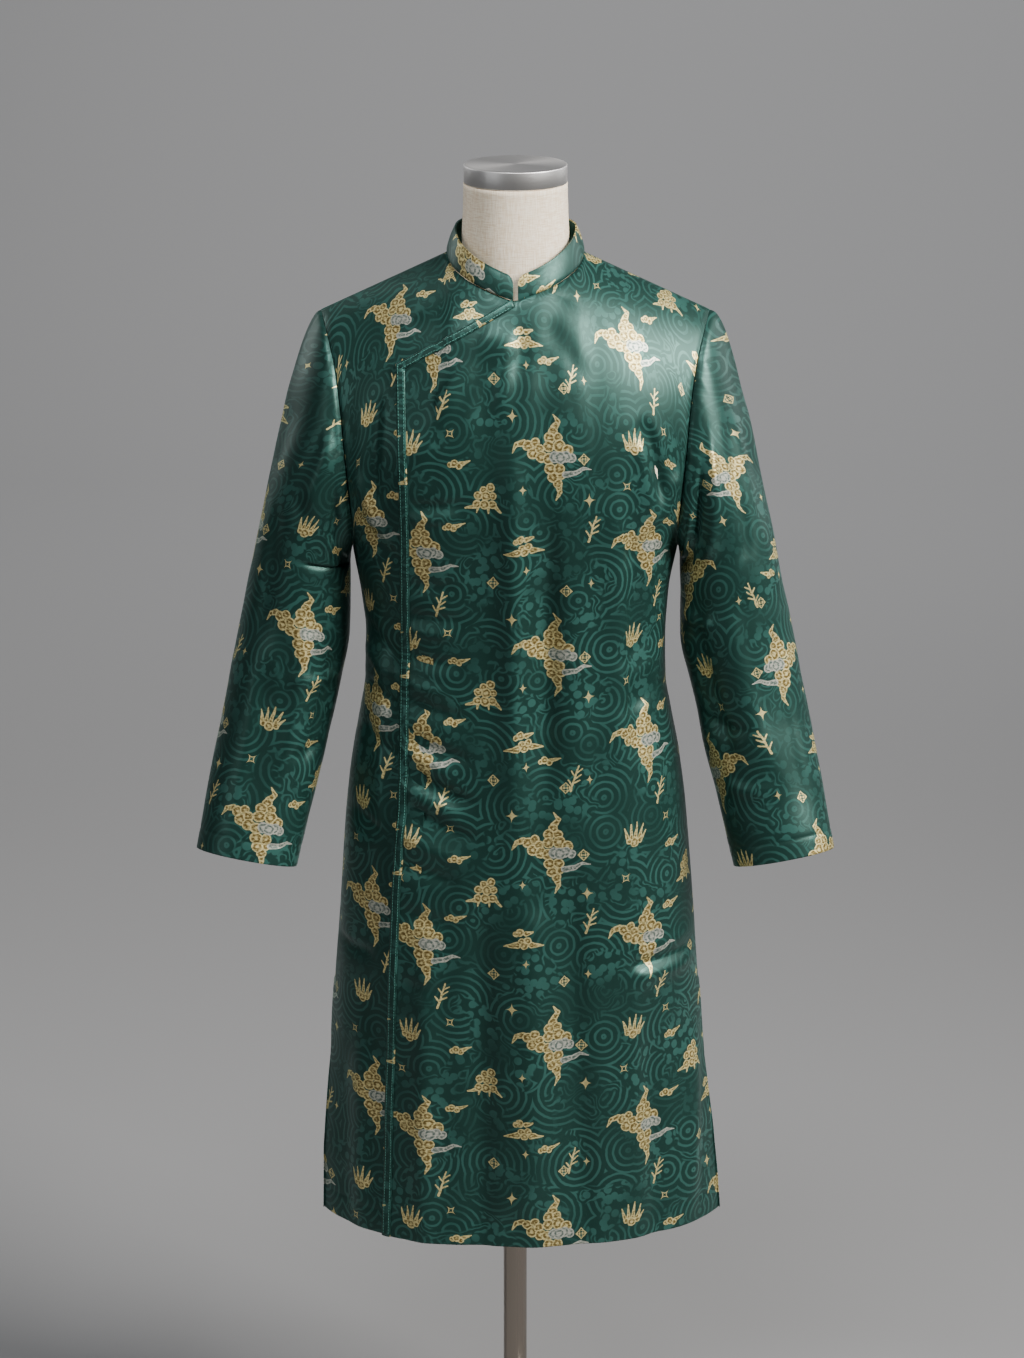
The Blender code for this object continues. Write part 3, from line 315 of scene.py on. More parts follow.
SLEEVE_LEFT_CREASES = (
    (0.074, 0.070, 0.120, 0.170, 0.156, 0.330, 0.0085, -0.0044, 0.4),
    (0.054, 0.080, 0.092, 0.190, 0.122, 0.350, 0.0110, 0.0038, 0.2),
    (0.110, 0.080, 0.140, 0.150, 0.162, 0.250, 0.0070, 0.0032, 0.0),
    (0.030, 0.120, 0.060, 0.260, 0.078, 0.400, 0.0130, -0.0026, 0.3),
    (0.096, 0.380, 0.100, 0.500, 0.086, 0.640, 0.0140, 0.0030, 0.3),
    (0.132, 0.380, 0.136, 0.480, 0.120, 0.620, 0.0110, -0.0030, 0.3),
    (0.050, 0.420, 0.064, 0.540, 0.056, 0.700, 0.0130, -0.0022, 0.2),
    (0.164, 0.400, 0.140, 0.430, 0.104, 0.424, 0.0080, 0.0022, 0.0),
    (0.160, 0.520, 0.130, 0.560, 0.090, 0.550, 0.0085, -0.0024, 0.3),
    (0.150, 0.610, 0.120, 0.640, 0.080, 0.630, 0.0080, 0.0018, 0.0),
    (0.236, 0.100, 0.250, 0.210, 0.236, 0.330, 0.0130, -0.0030, 0.2),
    (0.284, 0.080, 0.300, 0.200, 0.286, 0.340, 0.0120, 0.0026, 0.0),
    (0.226, 0.400, 0.246, 0.520, 0.230, 0.640, 0.0120, 0.0028, 0.2),
    (0.204, 0.350, 0.236, 0.372, 0.276, 0.352, 0.0090, -0.0022, 0.3),
)

# Room between the cloth and the form, and half width of the form at the armholes, by height
FORM_ROOM = (
    (0.700, 0.030),
    (0.870, 0.026),
    (0.970, 0.018),
    (1.060, 0.014),
    (1.150, 0.012),
    (1.230, 0.009),
    (1.320, 0.0065),
    (1.420, 0.0056),
    (1.500, 0.0048),
    (1.540, 0.0042),
)
FORM_SIDE = (
    (0.900, 0.2500),
    (1.150, 0.1900),
    (1.195, 0.1752),
    (1.262, 0.1775),
    (1.312, 0.1825),
    (1.360, 0.1870),
    (1.407, 0.1940),
    (1.443, 0.2030),
    (1.466, 0.2130),
)
# Neck of the form: front height, back height, half width, half depth, middle
NECK_RINGS = (
    (1.5060, 1.5560, 0.0615, 0.0565, -0.0050),
    (1.5420, 1.5750, 0.0600, 0.0570, -0.0030),
    (1.5780, 1.5900, 0.0588, 0.0575, -0.0010),
    (1.6098, 1.6098, 0.0583, 0.0580, 0.0000),
)
# Stand collar, by degrees round from the front: rise, lean in, lean in depth
COLLAR = (
    (0.0, 0.0235, 0.0000, 0.0105),
    (30.0, 0.0240, 0.0045, 0.0085),
    (60.0, 0.0255, 0.0085, 0.0045),
    (90.0, 0.0272, 0.0100, 0.0005),
    (130.0, 0.0295, 0.0065, -0.0040),
    (180.0, 0.0310, 0.0000, -0.0070),
)
COLLAR_NOTCH = 0.0028
COLLAR_CORNER = 0.0080

ACROSS = 81
LOW_ROWS = 164
TOP_ROWS = 66


def column(rows, key, index):
    """Smoothly interpolated column of a table whose first column is the key."""
    table = np.array(rows, dtype=float)
    keys = table[:, 0]
    vals = table[:, index]
    key = np.clip(np.asarray(key, dtype=float), keys[0], keys[-1])
    slope = np.diff(vals) / np.diff(keys)
    product = slope[:-1] * slope[1:]
    total = np.where(product > 0.0, slope[:-1] + slope[1:], 1.0)
    tangent = np.concatenate((slope[:1], np.where(product > 0.0, 2.0 * product / total, 0.0), slope[-1:]))
    i = np.clip(np.searchsorted(keys, key, side="right") - 1, 0, len(keys) - 2)
    span = keys[i + 1] - keys[i]
    t = (key - keys[i]) / span
    a = vals[i] * (1 + 2 * t) * (1 - t) ** 2 + vals[i + 1] * t * t * (3 - 2 * t)
    return a + span * (tangent[i] * t * (1 - t) ** 2 - tangent[i + 1] * t * t * (1 - t))


def hermite(p0, p1, m0, m1, t):
    """Cubic between two points with given pulls."""
    a = (1 + 2 * t) * (1 - t) ** 2
    b = t * t * (3 - 2 * t)
    return a * p0 + b * p1 + t * (1 - t) ** 2 * m0 - t * t * (1 - t) * m1


def smooth(t):
    """Ease from 0 to 1."""
    t = np.clip(t, 0.0, 1.0)
    return t * t * (3.0 - 2.0 * t)


def unit(v):
    """Vectors of length one."""
    return v / np.maximum(np.linalg.norm(v, axis=-1, keepdims=True), 1e-12)


def quarter_section(height, side, front):
    """Even points from the middle to the side seam of one quarter of a body section."""
    row = [float(column(BODY, height, k)) for k in range(1, 8)]
    half = row[0] if side < 0 else row[1]
    middle = row[2] if front else row[3]
    turn = math.radians(row[5])
    if not front and height < SLIT_TOP:
        turn = min(turn, math.radians(84.0))
    a = np.linspace(0.0, turn, 241)
    across = np.sin(a) ** (2.0 / row[6])
    deep = 1.0 - np.maximum(np.cos(a), 0.0) ** (2.0 / row[6])
    x = half * across / across[-1]
    y = middle + (row[4] - middle) * deep / deep[-1]
    run = np.concatenate(([0.0], np.cumsum(np.hypot(np.diff(x), np.diff(y)))))
    even = np.linspace(0.0, run[-1], ACROSS)
    return side * np.interp(even, run, x), np.interp(even, run, y)


def top_seam(share, side, front):
    """Points of the neckline and shoulder seam at shares across."""
    share = np.asarray(share, dtype=float)
    a = 0.5 * math.pi * np.minimum(share / NECK_SHARE, 1.0)
    end = NECK_FRONT if front else NECK_BACK
    rise = np.minimum(share / NECK_SHARE, 1.0) if front else np.sin(a)
    neck = (
        NECK_SIDE[0] * np.sin(a),
        NECK_SIDE[1] + (end[1] - NECK_SIDE[1]) * np.cos(a),
        end[2] + (NECK_SIDE[2] - end[2]) * rise,
    )
    t = np.clip((share - NECK_SHARE) / (1.0 - NECK_SHARE), 0.0, 1.0)
    shoulder = [NECK_SIDE[k] + (SHOULDER_POINT[k] - NECK_SIDE[k]) * t for k in range(3)]
    out = [np.where(share <= NECK_SHARE, neck[k], shoulder[k]) for k in range(3)]
    out[0] = out[0] * side
    return np.stack(out, axis=-1)


class Net:
    """Fine net of one half of the body: places (share across, share up) give points."""

    def __init__(self, front):
        self.front = front
        count = ACROSS
        points = np.zeros((LOW_ROWS + TOP_ROWS - 1, 2 * count - 1, 3))
        columns = FRONT_COLUMNS if front else BACK_COLUMNS
        hole = ARMHOLE_FRONT if front else ARMHOLE_BACK
        share = np.linspace(0.0, 1.0, count)
        v = np.linspace(0.0, 1.0, TOP_ROWS)
        for side in (-1, 1):
            place = count - 1 + side * np.arange(count)
            for j in range(LOW_ROWS):
                height = HEM + (UNDERARM - HEM) * j / (LOW_ROWS - 1)
                x, y = quarter_section(height, side, front)
                points[j, place] = np.stack((x, y, np.full(count, height)), axis=-1)
            low = points[LOW_ROWS - 1, place].copy()
            top = top_seam(share, side, front)
            pull = [column(columns, share, k) for k in range(1, 5)]
            start = np.stack((np.zeros(count), pull[0], pull[1]), axis=-1)
            end = np.stack((np.zeros(count), pull[2], pull[3]), axis=-1)
            upper = hermite(low[None], top[None], start[None], end[None], v[:, None, None])
            seam = np.stack([column(hole, v, k) for k in (1, 2, 3)], axis=-1)
            seam[:, 0] *= side
            upper += (seam - upper[:, -1])[:, None] * (share**3.5)[None, :, None]
            points[LOW_ROWS:, place] = upper[1:]
        self.points = points
        across = np.gradient(points, axis=1)
        rise = np.gradient(points, axis=0)
        normal = unit(np.cross(across, rise))
        self.normals = normal if front else -normal
        step = np.linalg.norm(np.diff(points, axis=1), axis=-1)
        run = np.concatenate((np.zeros((len(points), 1)), np.cumsum(step, axis=1)), axis=1)
        run -= run[:, count - 1 : count]
        step = np.linalg.norm(np.diff(points, axis=0), axis=-1)
        up = np.concatenate((np.zeros((1, 2 * count - 1)), np.cumsum(step, axis=0)))
        up += UNDERARM - up[LOW_ROWS - 1]
        self.flat = np.stack((run, up), axis=-1)

    def take(self, table, share, up):
        """Values of a table of the net at places."""
        share, up = np.broadcast_arrays(np.asarray(share, float), np.asarray(up, float))
        u = (share + 1.0) * 0.5 * (table.shape[1] - 1)
        low = up * (LOW_ROWS - 1)
        w = np.where(up <= 1.0, low, LOW_ROWS - 1 + (up - 1.0) * (TOP_ROWS - 1))
        i = np.clip(np.floor(u).astype(int), 0, table.shape[1] - 2)
        j = np.clip(np.floor(w).astype(int), 0, table.shape[0] - 2)
        a = (u - i)[..., None]
        b = (w - j)[..., None]
        lower = table[j, i] * (1 - a) + table[j, i + 1] * a
        upper = table[j + 1, i] * (1 - a) + table[j + 1, i + 1] * a
        return lower * (1 - b) + upper * b

    def point(self, share, up):
        """Points at places."""
        return self.take(self.points, share, up)

    def normal(self, share, up):
        """Outward directions at places."""
        return unit(self.take(self.normals, share, up))

    def cut(self, share, up):
        """Flat measures of the cloth at places: across from the middle, and up."""
        return self.take(self.flat, share, up)

    def find(self, x, z, low, high):
        """Places that have these widths and heights."""
        x, z = np.broadcast_arrays(np.asarray(x, float), np.asarray(z, float))
        share = x / 0.21
        up = np.where(z > UNDERARM, 1.0 + (z - UNDERARM) / 0.29, (z - HEM) / (UNDERARM - HEM))
        up = np.clip(up, low, high)
        e = 0.004
        for _ in range(40):
            p = self.point(share, up)
            right = np.minimum(share + e, 1.0)
            over = np.minimum(up + e, 2.0)
            ps = (self.point(right, up) - self.point(right - e, up)) / e
            pu = (self.point(share, over) - self.point(share, over - e)) / e
            det = ps[..., 0] * pu[..., 2] - pu[..., 0] * ps[..., 2]
            dx = x - p[..., 0]
            dz = z - p[..., 2]
            share = np.clip(share + 0.8 * (dx * pu[..., 2] - pu[..., 0] * dz) / det, -1.0, 1.0)
            up = np.clip(up + 0.8 * (ps[..., 0] * dz - dx * ps[..., 2]) / det, low, high)
        return share, up


def fold_rise(folds, x, z):
    """Rise of the large folds."""
    total = np.zeros(x.shape)
    for x0, z0, x1, z1, half_width, rise in folds:
        dx = x1 - x0
        dz = z1 - z0
        near = np.clip(((x - x0) * dx + (z - z0) * dz) / (dx * dx + dz * dz), 0.0, 1.0)
        gap = np.hypot(x - x0 - near * dx, z - z0 - near * dz)
        total += rise * np.exp(-((gap / half_width) ** 2))
    return total


def crease_rise(creases, x, z):
    """Rise of the curved creases, which fade at their ends and lean to one side."""
    total = np.zeros(x.shape)
    pieces = 14
    for x0, z0, x1, z1, x2, z2, width, rise, lean in creases:
        best = np.full(x.shape, 1e9)
        gap = np.zeros(x.shape)
        place = np.zeros(x.shape)
        for k in range(pieces):
            ends = []
            for t in (k / pieces, (k + 1) / pieces):
                a = (1 - t) ** 2
                b = 2 * t * (1 - t)
                ends.append((a * x0 + b * x1 + t * t * x2, a * z0 + b * z1 + t * t * z2))
            dx = ends[1][0] - ends[0][0]
            dz = ends[1][1] - ends[0][1]
            near = np.clip(((x - ends[0][0]) * dx + (z - ends[0][1]) * dz) / (dx * dx + dz * dz), 0.0, 1.0)
            ex = x - ends[0][0] - near * dx
            ez = z - ends[0][1] - near * dz
            size = ex * ex + ez * ez
            closer = size < best
            best = np.where(closer, size, best)
            gap = np.where(closer, (ex * dz - ez * dx) / math.hypot(dx, dz), gap)
            place = np.where(closer, (k + near) / pieces, place)
        far = np.sqrt(best)
        wide = width * (1.0 + lean * np.tanh(gap / width))
        fade = smooth(place / 0.30) * smooth((1.0 - place) / 0.30)
        total += CREASE_DEPTH * rise * fade * np.exp(-((far / wide) ** 2))
    return total


def ripple(x, z, seed, size):
    """Slight unevenness that no cloth is without."""
    waves = np.random.default_rng(seed)
    total = np.zeros(x.shape)
    for _ in range(12):
        length = waves.uniform(0.035, 0.13)
        turn = waves.uniform(0.0, math.pi)
        start = waves.uniform(0.0, 2.0 * math.pi)
        k = 2.0 * math.pi / length
        total += np.sin(k * (x * math.cos(turn) + z * math.sin(turn)) + start) * (length / 0.13)
    return total * size / 6.0


def seam_fade(share, up):
    """Folds die out at the seams that are sewn."""
    side = 1.0 - smooth((np.abs(share) - 0.80) / 0.18)
    low = 1.0 - smooth(up / 0.35)
    top = 1.0 - smooth((up - 1.72) / 0.24)
    return np.maximum(side, 0.8 * low) * top


def edge_fade(share, up):
    """Creases reach closer to the seams than the large folds do."""
    side = 1.0 - smooth((np.abs(share) - 0.90) / 0.10)
    low = 1.0 - smooth((up - 0.30) / 0.10)
    top = 1.0 - smooth((up - 1.86) / 0.14)
    return np.maximum(side, low) * top


front_net = Net(True)
back_net = Net(False)


def under_edge_share(up):
    """Share across where the under front ends."""
    return column(UNDER_EDGE, up, 1)


def flap_lift(share, up):
    """How far the front lies over the under front."""
    return FLAP_RISE * (1.0 - smooth((share - under_edge_share(up) - 0.03) / 0.22))


def eased(net, share, up):
    """Points of a side, with the bend below the neckline corner eased."""
    share, up = np.broadcast_arrays(share, up)
    p = net.point(share, up)
    near = np.exp(-(((np.abs(share) - NECK_SHARE) / 0.05) ** 2))
    near = near * smooth((up - 1.15) / 0.40) * (1.0 - smooth((up - 1.90) / 0.08))
    mean = p
    for reach in (0.02, 0.04, 0.06):
        mean = mean + net.point(share - reach, up) + net.point(share + reach, up)
    near = np.where(np.abs(share) < 0.9, near, 0.0)
    return p + (mean / 7.0 - p) * near[..., None]


def front_surface(share, up, rise, creases, seed):
    """Points of the front with its folds, moved out by a rise."""
    p = eased(front_net, share, up)
    n = front_net.normal(share, up)
    x = p[..., 0]
    z = p[..., 2]
    lift = fold_rise(FRONT_FOLDS, x, z) * seam_fade(share, up)
    lift = lift + (crease_rise(creases, x, z) + ripple(x, z, seed, 0.0011)) * edge_fade(share, up)
    return p + n * (np.asarray(rise) + lift)[..., None], n


def back_surface(share, up, rise):
    """Points of the back with its folds."""
    p = eased(back_net, share, up)
    n = back_net.normal(share, up)
    x = p[..., 0]
    z = p[..., 2]
    lift = fold_rise(BACK_FOLDS, x, z) * seam_fade(share, up)
    lift = lift + (crease_rise(BACK_CREASES, x, z) + ripple(x, z, 5, 0.0012)) * edge_fade(share, up)
    return p + n * (np.asarray(rise) + lift)[..., None], n


def side_open(z):
    """How far a panel edge stands off the side below the slit top."""
    return np.where(z < SLIT_TOP, SLIT_OPEN * smooth((SLIT_TOP - z) / (SLIT_TOP - HEM)), 0.0)


def edge_steps(length, step):
    """Shares along a length, closer at both ends."""
    close = [0.0, 0.0012, 0.0026, 0.0044]
    inner = np.linspace(0.0065, length - 0.0065, max(int((length - 0.013) / step), 3))
    values = close + list(inner) + [length - c for c in reversed(close)]
    return np.array(values) / length


def seam_dip(distance):
    """How far cloth sinks towards a seam."""
    return SEAM_DIP * np.exp(-((distance / SEAM_REACH) ** 2))


def shell(name, points, flat, closed, outward, thickness, materials):
    """Thin two-sided piece on a grid of points, with a flat map in metres and a tidy one."""
    rows, cols = points.shape[:2]
    if closed:
        ahead = np.roll(points, -1, axis=1) - np.roll(points, 1, axis=1)
    else:
        ahead = np.gradient(points, axis=1)
    normal = unit(np.cross(ahead, np.gradient(points, axis=0)))
    flip = float(np.sum(normal * outward)) < 0.0
    if flip:
        normal = -normal
    outer = points + normal * thickness * 0.5
    inner = points - normal * thickness * 0.5
    verts = np.concatenate((outer.reshape(-1, 3), inner.reshape(-1, 3)))
    total = rows * cols
    j, i = np.meshgrid(np.arange(rows - 1), np.arange(cols if closed else cols - 1), indexing="ij")
    k = (i + 1) % cols
    corners = (j * cols + i, j * cols + k, (j + 1) * cols + k, (j + 1) * cols + i)
    quads = np.stack(corners, axis=-1).reshape(-1, 4)
    u = np.arange(cols + 1) / (cols if closed else cols - 1)
    v = np.arange(rows) / (rows - 1)
    here = np.stack((i, i + 1, i + 1, i), axis=-1).reshape(-1, 4)
    level = np.stack((j, j, j + 1, j + 1), axis=-1).reshape(-1, 4)
    place_u = u[here]
    place_v = v[level]
    if closed:
        once_round = np.array((flat[0, -1, 0] - flat[0, 0, 0], 0.0)) * cols / (cols - 1)
        wide = np.concatenate((flat, flat[:, :1] + once_round), axis=1)
    else:
        wide = flat
    cloth = wide[level, here]
    tidy_outer = np.stack((0.003 + 0.994 * place_u, 0.32 + 0.677 * place_v), axis=-1)
    tidy_inner = np.stack((0.003 + 0.994 * place_u, 0.003 + 0.27 * place_v), axis=-1)
    rims = []
    rim_cloth = []
    rim_tidy = []
    strips = [(0, False), (rows - 1, True)]
    band = 0.280
    for row, over in strips:
        a = row * cols + np.arange(cols if closed else cols - 1)
        b = row * cols + (np.arange(cols if closed else cols - 1) + 1) % cols
        ring = np.stack((a, b, b + total, a + total), axis=-1)
        rims.append(ring if over else ring[:, ::-1])
        s = np.arange(len(a))
        near = wide[row, s]
        far = wide[row, s + 1]
        c4 = np.stack((near, far, far, near), axis=1)
        t4 = np.stack((u[s], u[s + 1], u[s + 1], u[s]), axis=1) * 0.994 + 0.003
        h4 = np.broadcast_to(np.array((band, band, band + 0.006, band + 0.006)), t4.shape)
        tidy = np.stack((t4, h4), axis=-1)
        rim_cloth.append(c4 if over else c4[:, ::-1])
        rim_tidy.append(tidy if over else tidy[:, ::-1])
        band += 0.009
    if not closed:
        for col, over in ((0, True), (cols - 1, False)):
            a = np.arange(rows - 1) * cols + col
            b = a + cols
            ring = np.stack((a, b, b + total, a + total), axis=-1)
            rims.append(ring if over else ring[:, ::-1])
            s = np.arange(rows - 1)
            c4 = np.stack((wide[s, col], wide[s + 1, col], wide[s + 1, col], wide[s, col]), axis=1)
            t4 = np.stack((v[s], v[s + 1], v[s + 1], v[s]), axis=1) * 0.994 + 0.003
            h4 = np.broadcast_to(np.array((band, band, band + 0.006, band + 0.006)), t4.shape)
            tidy = np.stack((t4, h4), axis=-1)
            rim_cloth.append(c4 if over else c4[:, ::-1])
            rim_tidy.append(tidy if over else tidy[:, ::-1])
            band += 0.009
    rim = np.concatenate(rims)
    if flip:
        outer_faces = quads[:, ::-1]
        inner_faces = quads + total
        maps = [cloth[:, ::-1], cloth]
        tidies = [tidy_outer[:, ::-1], tidy_inner]
        rim = rim[:, ::-1]
        rim_c = np.concatenate(rim_cloth)[:, ::-1]
        rim_t = np.concatenate(rim_tidy)[:, ::-1]
    else:
        outer_faces = quads
        inner_faces = quads[:, ::-1] + total
        maps = [cloth, cloth[:, ::-1]]
        tidies = [tidy_outer, tidy_inner[:, ::-1]]
        rim_c = np.concatenate(rim_cloth)
        rim_t = np.concatenate(rim_tidy)
    faces = np.concatenate((outer_faces, inner_faces, rim))
    mesh = bpy.data.meshes.new(name)
    mesh.vertices.add(len(verts))
    mesh.vertices.foreach_set("co", verts.ravel())
    mesh.loops.add(faces.size)
    mesh.loops.foreach_set("vertex_index", faces.ravel().astype(np.int32))
    mesh.polygons.add(len(faces))
    mesh.polygons.foreach_set("loop_start", np.arange(0, faces.size, 4, dtype=np.int32))
    mesh.update(calc_edges=True)
    soft = np.ones(len(faces), dtype=bool)
    soft[len(outer_faces) + len(inner_faces) :] = False
    mesh.polygons.foreach_set("use_smooth", soft)
    slots = np.zeros(len(faces), dtype=np.int32)
    slots[len(outer_faces) : len(outer_faces) + len(inner_faces)] = len(materials) - 1
    mesh.polygons.foreach_set("material_index", slots)
    layers = (("cloth", np.concatenate(maps + [rim_c])), ("OFBake", np.concatenate(tidies + [rim_t])))
    for label, data in layers:
        layer = mesh.uv_layers.new(name=label)
        layer.data.foreach_set("uv", np.ascontiguousarray(data, dtype=np.float32).ravel())
    item = bpy.data.objects.new(name, mesh)
    bpy.context.scene.collection.objects.link(item)
    for material in materials:
        mesh.materials.append(material)
    mesh.validate()
    return item


def sheet_area(points, closed):
    """Area of a grid of points."""
    p = np.concatenate((points, points[:, :1]), axis=1) if closed else points
    a = np.cross(p[1:, 1:] - p[:-1, :-1], p[1:, :-1] - p[:-1, 1:])
    return float(0.5 * np.linalg.norm(a, axis=-1).sum())


# ---------------------------------------------------------------- materials


class Wire:
    """A value in a node tree, so that sums of nodes read as sums."""

    def __init__(self, tree, socket):
        self.tree = tree
        self.socket = socket

    def __add__(self, other):
        return sums(self.tree, "ADD", self, other)

    def __sub__(self, other):
        return sums(self.tree, "SUBTRACT", self, other)

    def __mul__(self, other):
        return sums(self.tree, "MULTIPLY", self, other)


def fill(tree, socket, value):
    """Links a wire to a socket, or sets its value."""
    if isinstance(value, Wire):
        tree.links.new(value.socket, socket)
    elif value is not None:
        socket.default_value = value


def sums(tree, what, *values, clamp=False):
    """Result of a math node."""
    node = tree.nodes.new("ShaderNodeMath")
    node.operation = what
    node.use_clamp = clamp
    for socket, value in zip(node.inputs, values):
        fill(tree, socket, value)
    return Wire(tree, node.outputs[0])


def vectors(tree, what, *values, scale=None):
    """Result of a vector math node."""
    node = tree.nodes.new("ShaderNodeVectorMath")
    node.operation = what
    for socket, value in zip(node.inputs, values):
        fill(tree, socket, value)
    if scale is not None:
        fill(tree, node.inputs["Scale"], scale)
    out = 1 if what in ("DISTANCE", "DOT_PRODUCT", "LENGTH") else 0
    return Wire(tree, node.outputs[out])


def blend(tree, share, first, second, kind="RGBA"):
    """Mix of two colours, vectors or values."""
    node = tree.nodes.new("ShaderNodeMix")
    node.data_type = kind
    spots = {"FLOAT": (0, 2, 3, 0), "VECTOR": (0, 4, 5, 1), "RGBA": (0, 6, 7, 2)}[kind]
    fill(tree, node.inputs[spots[0]], share)
    fill(tree, node.inputs[spots[1]], first)
    fill(tree, node.inputs[spots[2]], second)
    return Wire(tree, node.outputs[spots[3]])


def ramp(tree, value, low, high):
    """Value eased from 0 at low to 1 at high."""
    node = tree.nodes.new("ShaderNodeMapRange")
    node.interpolation_type = "SMOOTHSTEP"
    fill(tree, node.inputs["Value"], value)
    node.inputs["From Min"].default_value = low
    node.inputs["From Max"].default_value = high
    return Wire(tree, node.outputs["Result"])


def noise(tree, place, scale, detail=2.0, rough=0.5, color=False):
    """Noise texture at a place."""
    node = tree.nodes.new("ShaderNodeTexNoise")
    fill(tree, node.inputs["Vector"], place)
    node.inputs["Scale"].default_value = scale
    node.inputs["Detail"].default_value = detail
    node.inputs["Roughness"].default_value = rough
    return Wire(tree, node.outputs["Color" if color else "Fac"])


def new_group(name, inputs, outputs):
    """Shader node group with named sockets; gives the tree, its input wires and its output node."""
    tree = bpy.data.node_groups.new(name, "ShaderNodeTree")
    for label, kind, value in inputs:
        socket = tree.interface.new_socket(name=label, in_out="INPUT", socket_type=kind)
        if value is not None:
            socket.default_value = value
    for label, kind in outputs:
        tree.interface.new_socket(name=label, in_out="OUTPUT", socket_type=kind)
    enter = tree.nodes.new("NodeGroupInput")
    leave = tree.nodes.new("NodeGroupOutput")
    wires = {label: Wire(tree, enter.outputs[label]) for label, _, _ in inputs}
    return tree, wires, leave


def disc(tree, place, x, y, radius):
    """Signed distance from a round lobe."""
    return vectors(tree, "DISTANCE", place, (x, y, 0.0)) - radius


def taper(tree, place, x0, y0, r0, x1, y1, r1):
    """Signed distance from a limb that narrows from one end to the other."""
    dx = x1 - x0
    dy = y1 - y0
    size = dx * dx + dy * dy
    away = vectors(tree, "SUBTRACT", place, (x0, y0, 0.0))
    along = vectors(tree, "DOT_PRODUCT", away, (dx / size, dy / size, 0.0))
    along = sums(tree, "ADD", along, 0.0, clamp=True)
    near = vectors(tree, "SCALE", (dx, dy, 0.0), scale=along)
    gap = vectors(tree, "DISTANCE", away, near)
    return gap - sums(tree, "MULTIPLY_ADD", along, r1 - r0, r0)


class Painter:
    """Lays lobes over one another, each with a bright outline, as woven clouds are drawn."""

    def __init__(self, tree, place, outline=3.0, soft=0.6):
        self.tree = tree
        self.place = place
        self.outline = outline
        self.soft = soft
        self.figure = None
        self.light = None

    def lay(self, gap):
        """Adds a shape given by its signed distance."""
        inside = sums(self.tree, "MULTIPLY_ADD", gap, -1.0 / self.soft, 0.5, clamp=True)
        rim = sums(self.tree, "PINGPONG", gap, self.outline)
        if self.figure is None:
            self.figure = inside
            self.light = rim
        else:
            self.figure = sums(self.tree, "MAXIMUM", self.figure, inside)
            self.light = blend(self.tree, inside, self.light, rim, "FLOAT")

    def lobes(self, rows):
        """Adds lobes given by place and radius, in millimetres."""
        for x, y, radius in rows:
            self.lay(disc(self.tree, self.place, x, y, radius))

    def limbs(self, rows, joined=False):
        """Adds tapering limbs given by both ends and their half widths, in millimetres."""
        gap = None
        for row in rows:
            here = taper(self.tree, self.place, *row)
            if not joined:
                self.lay(here)
            elif gap is None:
                gap = here
            else:
                gap = sums(self.tree, "MINIMUM", gap, here)
        if gap is not None:
            self.lay(gap)


# Repeat of the brocade, in millimetres
REPEAT = (262.0, 232.5)
SECOND_FIGURE = (150.0, -120.5)

# Large cloud figure, in millimetres from its middle: limbs are x, y, half width at both ends,
# lobes are x, y, radius
FIGURE_HORNS = (
    (-3.0, 33.0, 4.2, 2.5, 40.0, 2.6),
    (2.5, 40.0, 2.6, -3.5, 48.0, 0.6),
    (-38.0, 17.0, 3.8, -46.0, 15.0, 2.8),
    (-46.0, 15.0, 2.8, -51.0, 6.0, 0.5),
    (1.5, -33.0, 3.8, 3.0, -39.0, 2.6),
    (3.0, -39.0, 2.6, -1.5, -49.0, 0.5),
)
FIGURE_LOBES = (
    (-33.0, 14.0, 6.0),
    (-25.0, 17.0, 5.4),
    (-27.5, 5.0, 6.6),
    (-20.0, 10.0, 5.6),
    (-18.0, 1.0, 6.6),
    (-4.0, 29.0, 5.6),
    (-8.5, 22.0, 6.4),
    (1.5, 22.5, 5.4),
    (-9.0, 12.5, 6.6),
    (3.0, 13.0, 7.2),
    (12.5, 8.0, 6.6),
    (0.5, -29.0, 5.4),
    (-5.0, -22.5, 6.0),
    (4.5, -20.5, 4.8),
    (-8.0, -12.5, 6.6),
    (2.5, -12.5, 6.4),
    (-10.0, -1.5, 6.4),
)
SILVER_LOBES = (
    (17.0, -1.0, 5.4),
    (10.5, 1.0, 6.2),
    (-2.5, 0.5, 6.4),
    (4.0, -0.5, 6.8),
)
SILVER_TAIL = (
    (9.0, -19.5, 3.6, 21.0, -18.0, 2.9),
    (21.0, -18.0, 2.9, 30.0, -13.0, 2.0),
    (30.0, -13.0, 2.0, 39.0, -14.5, 0.5),
)

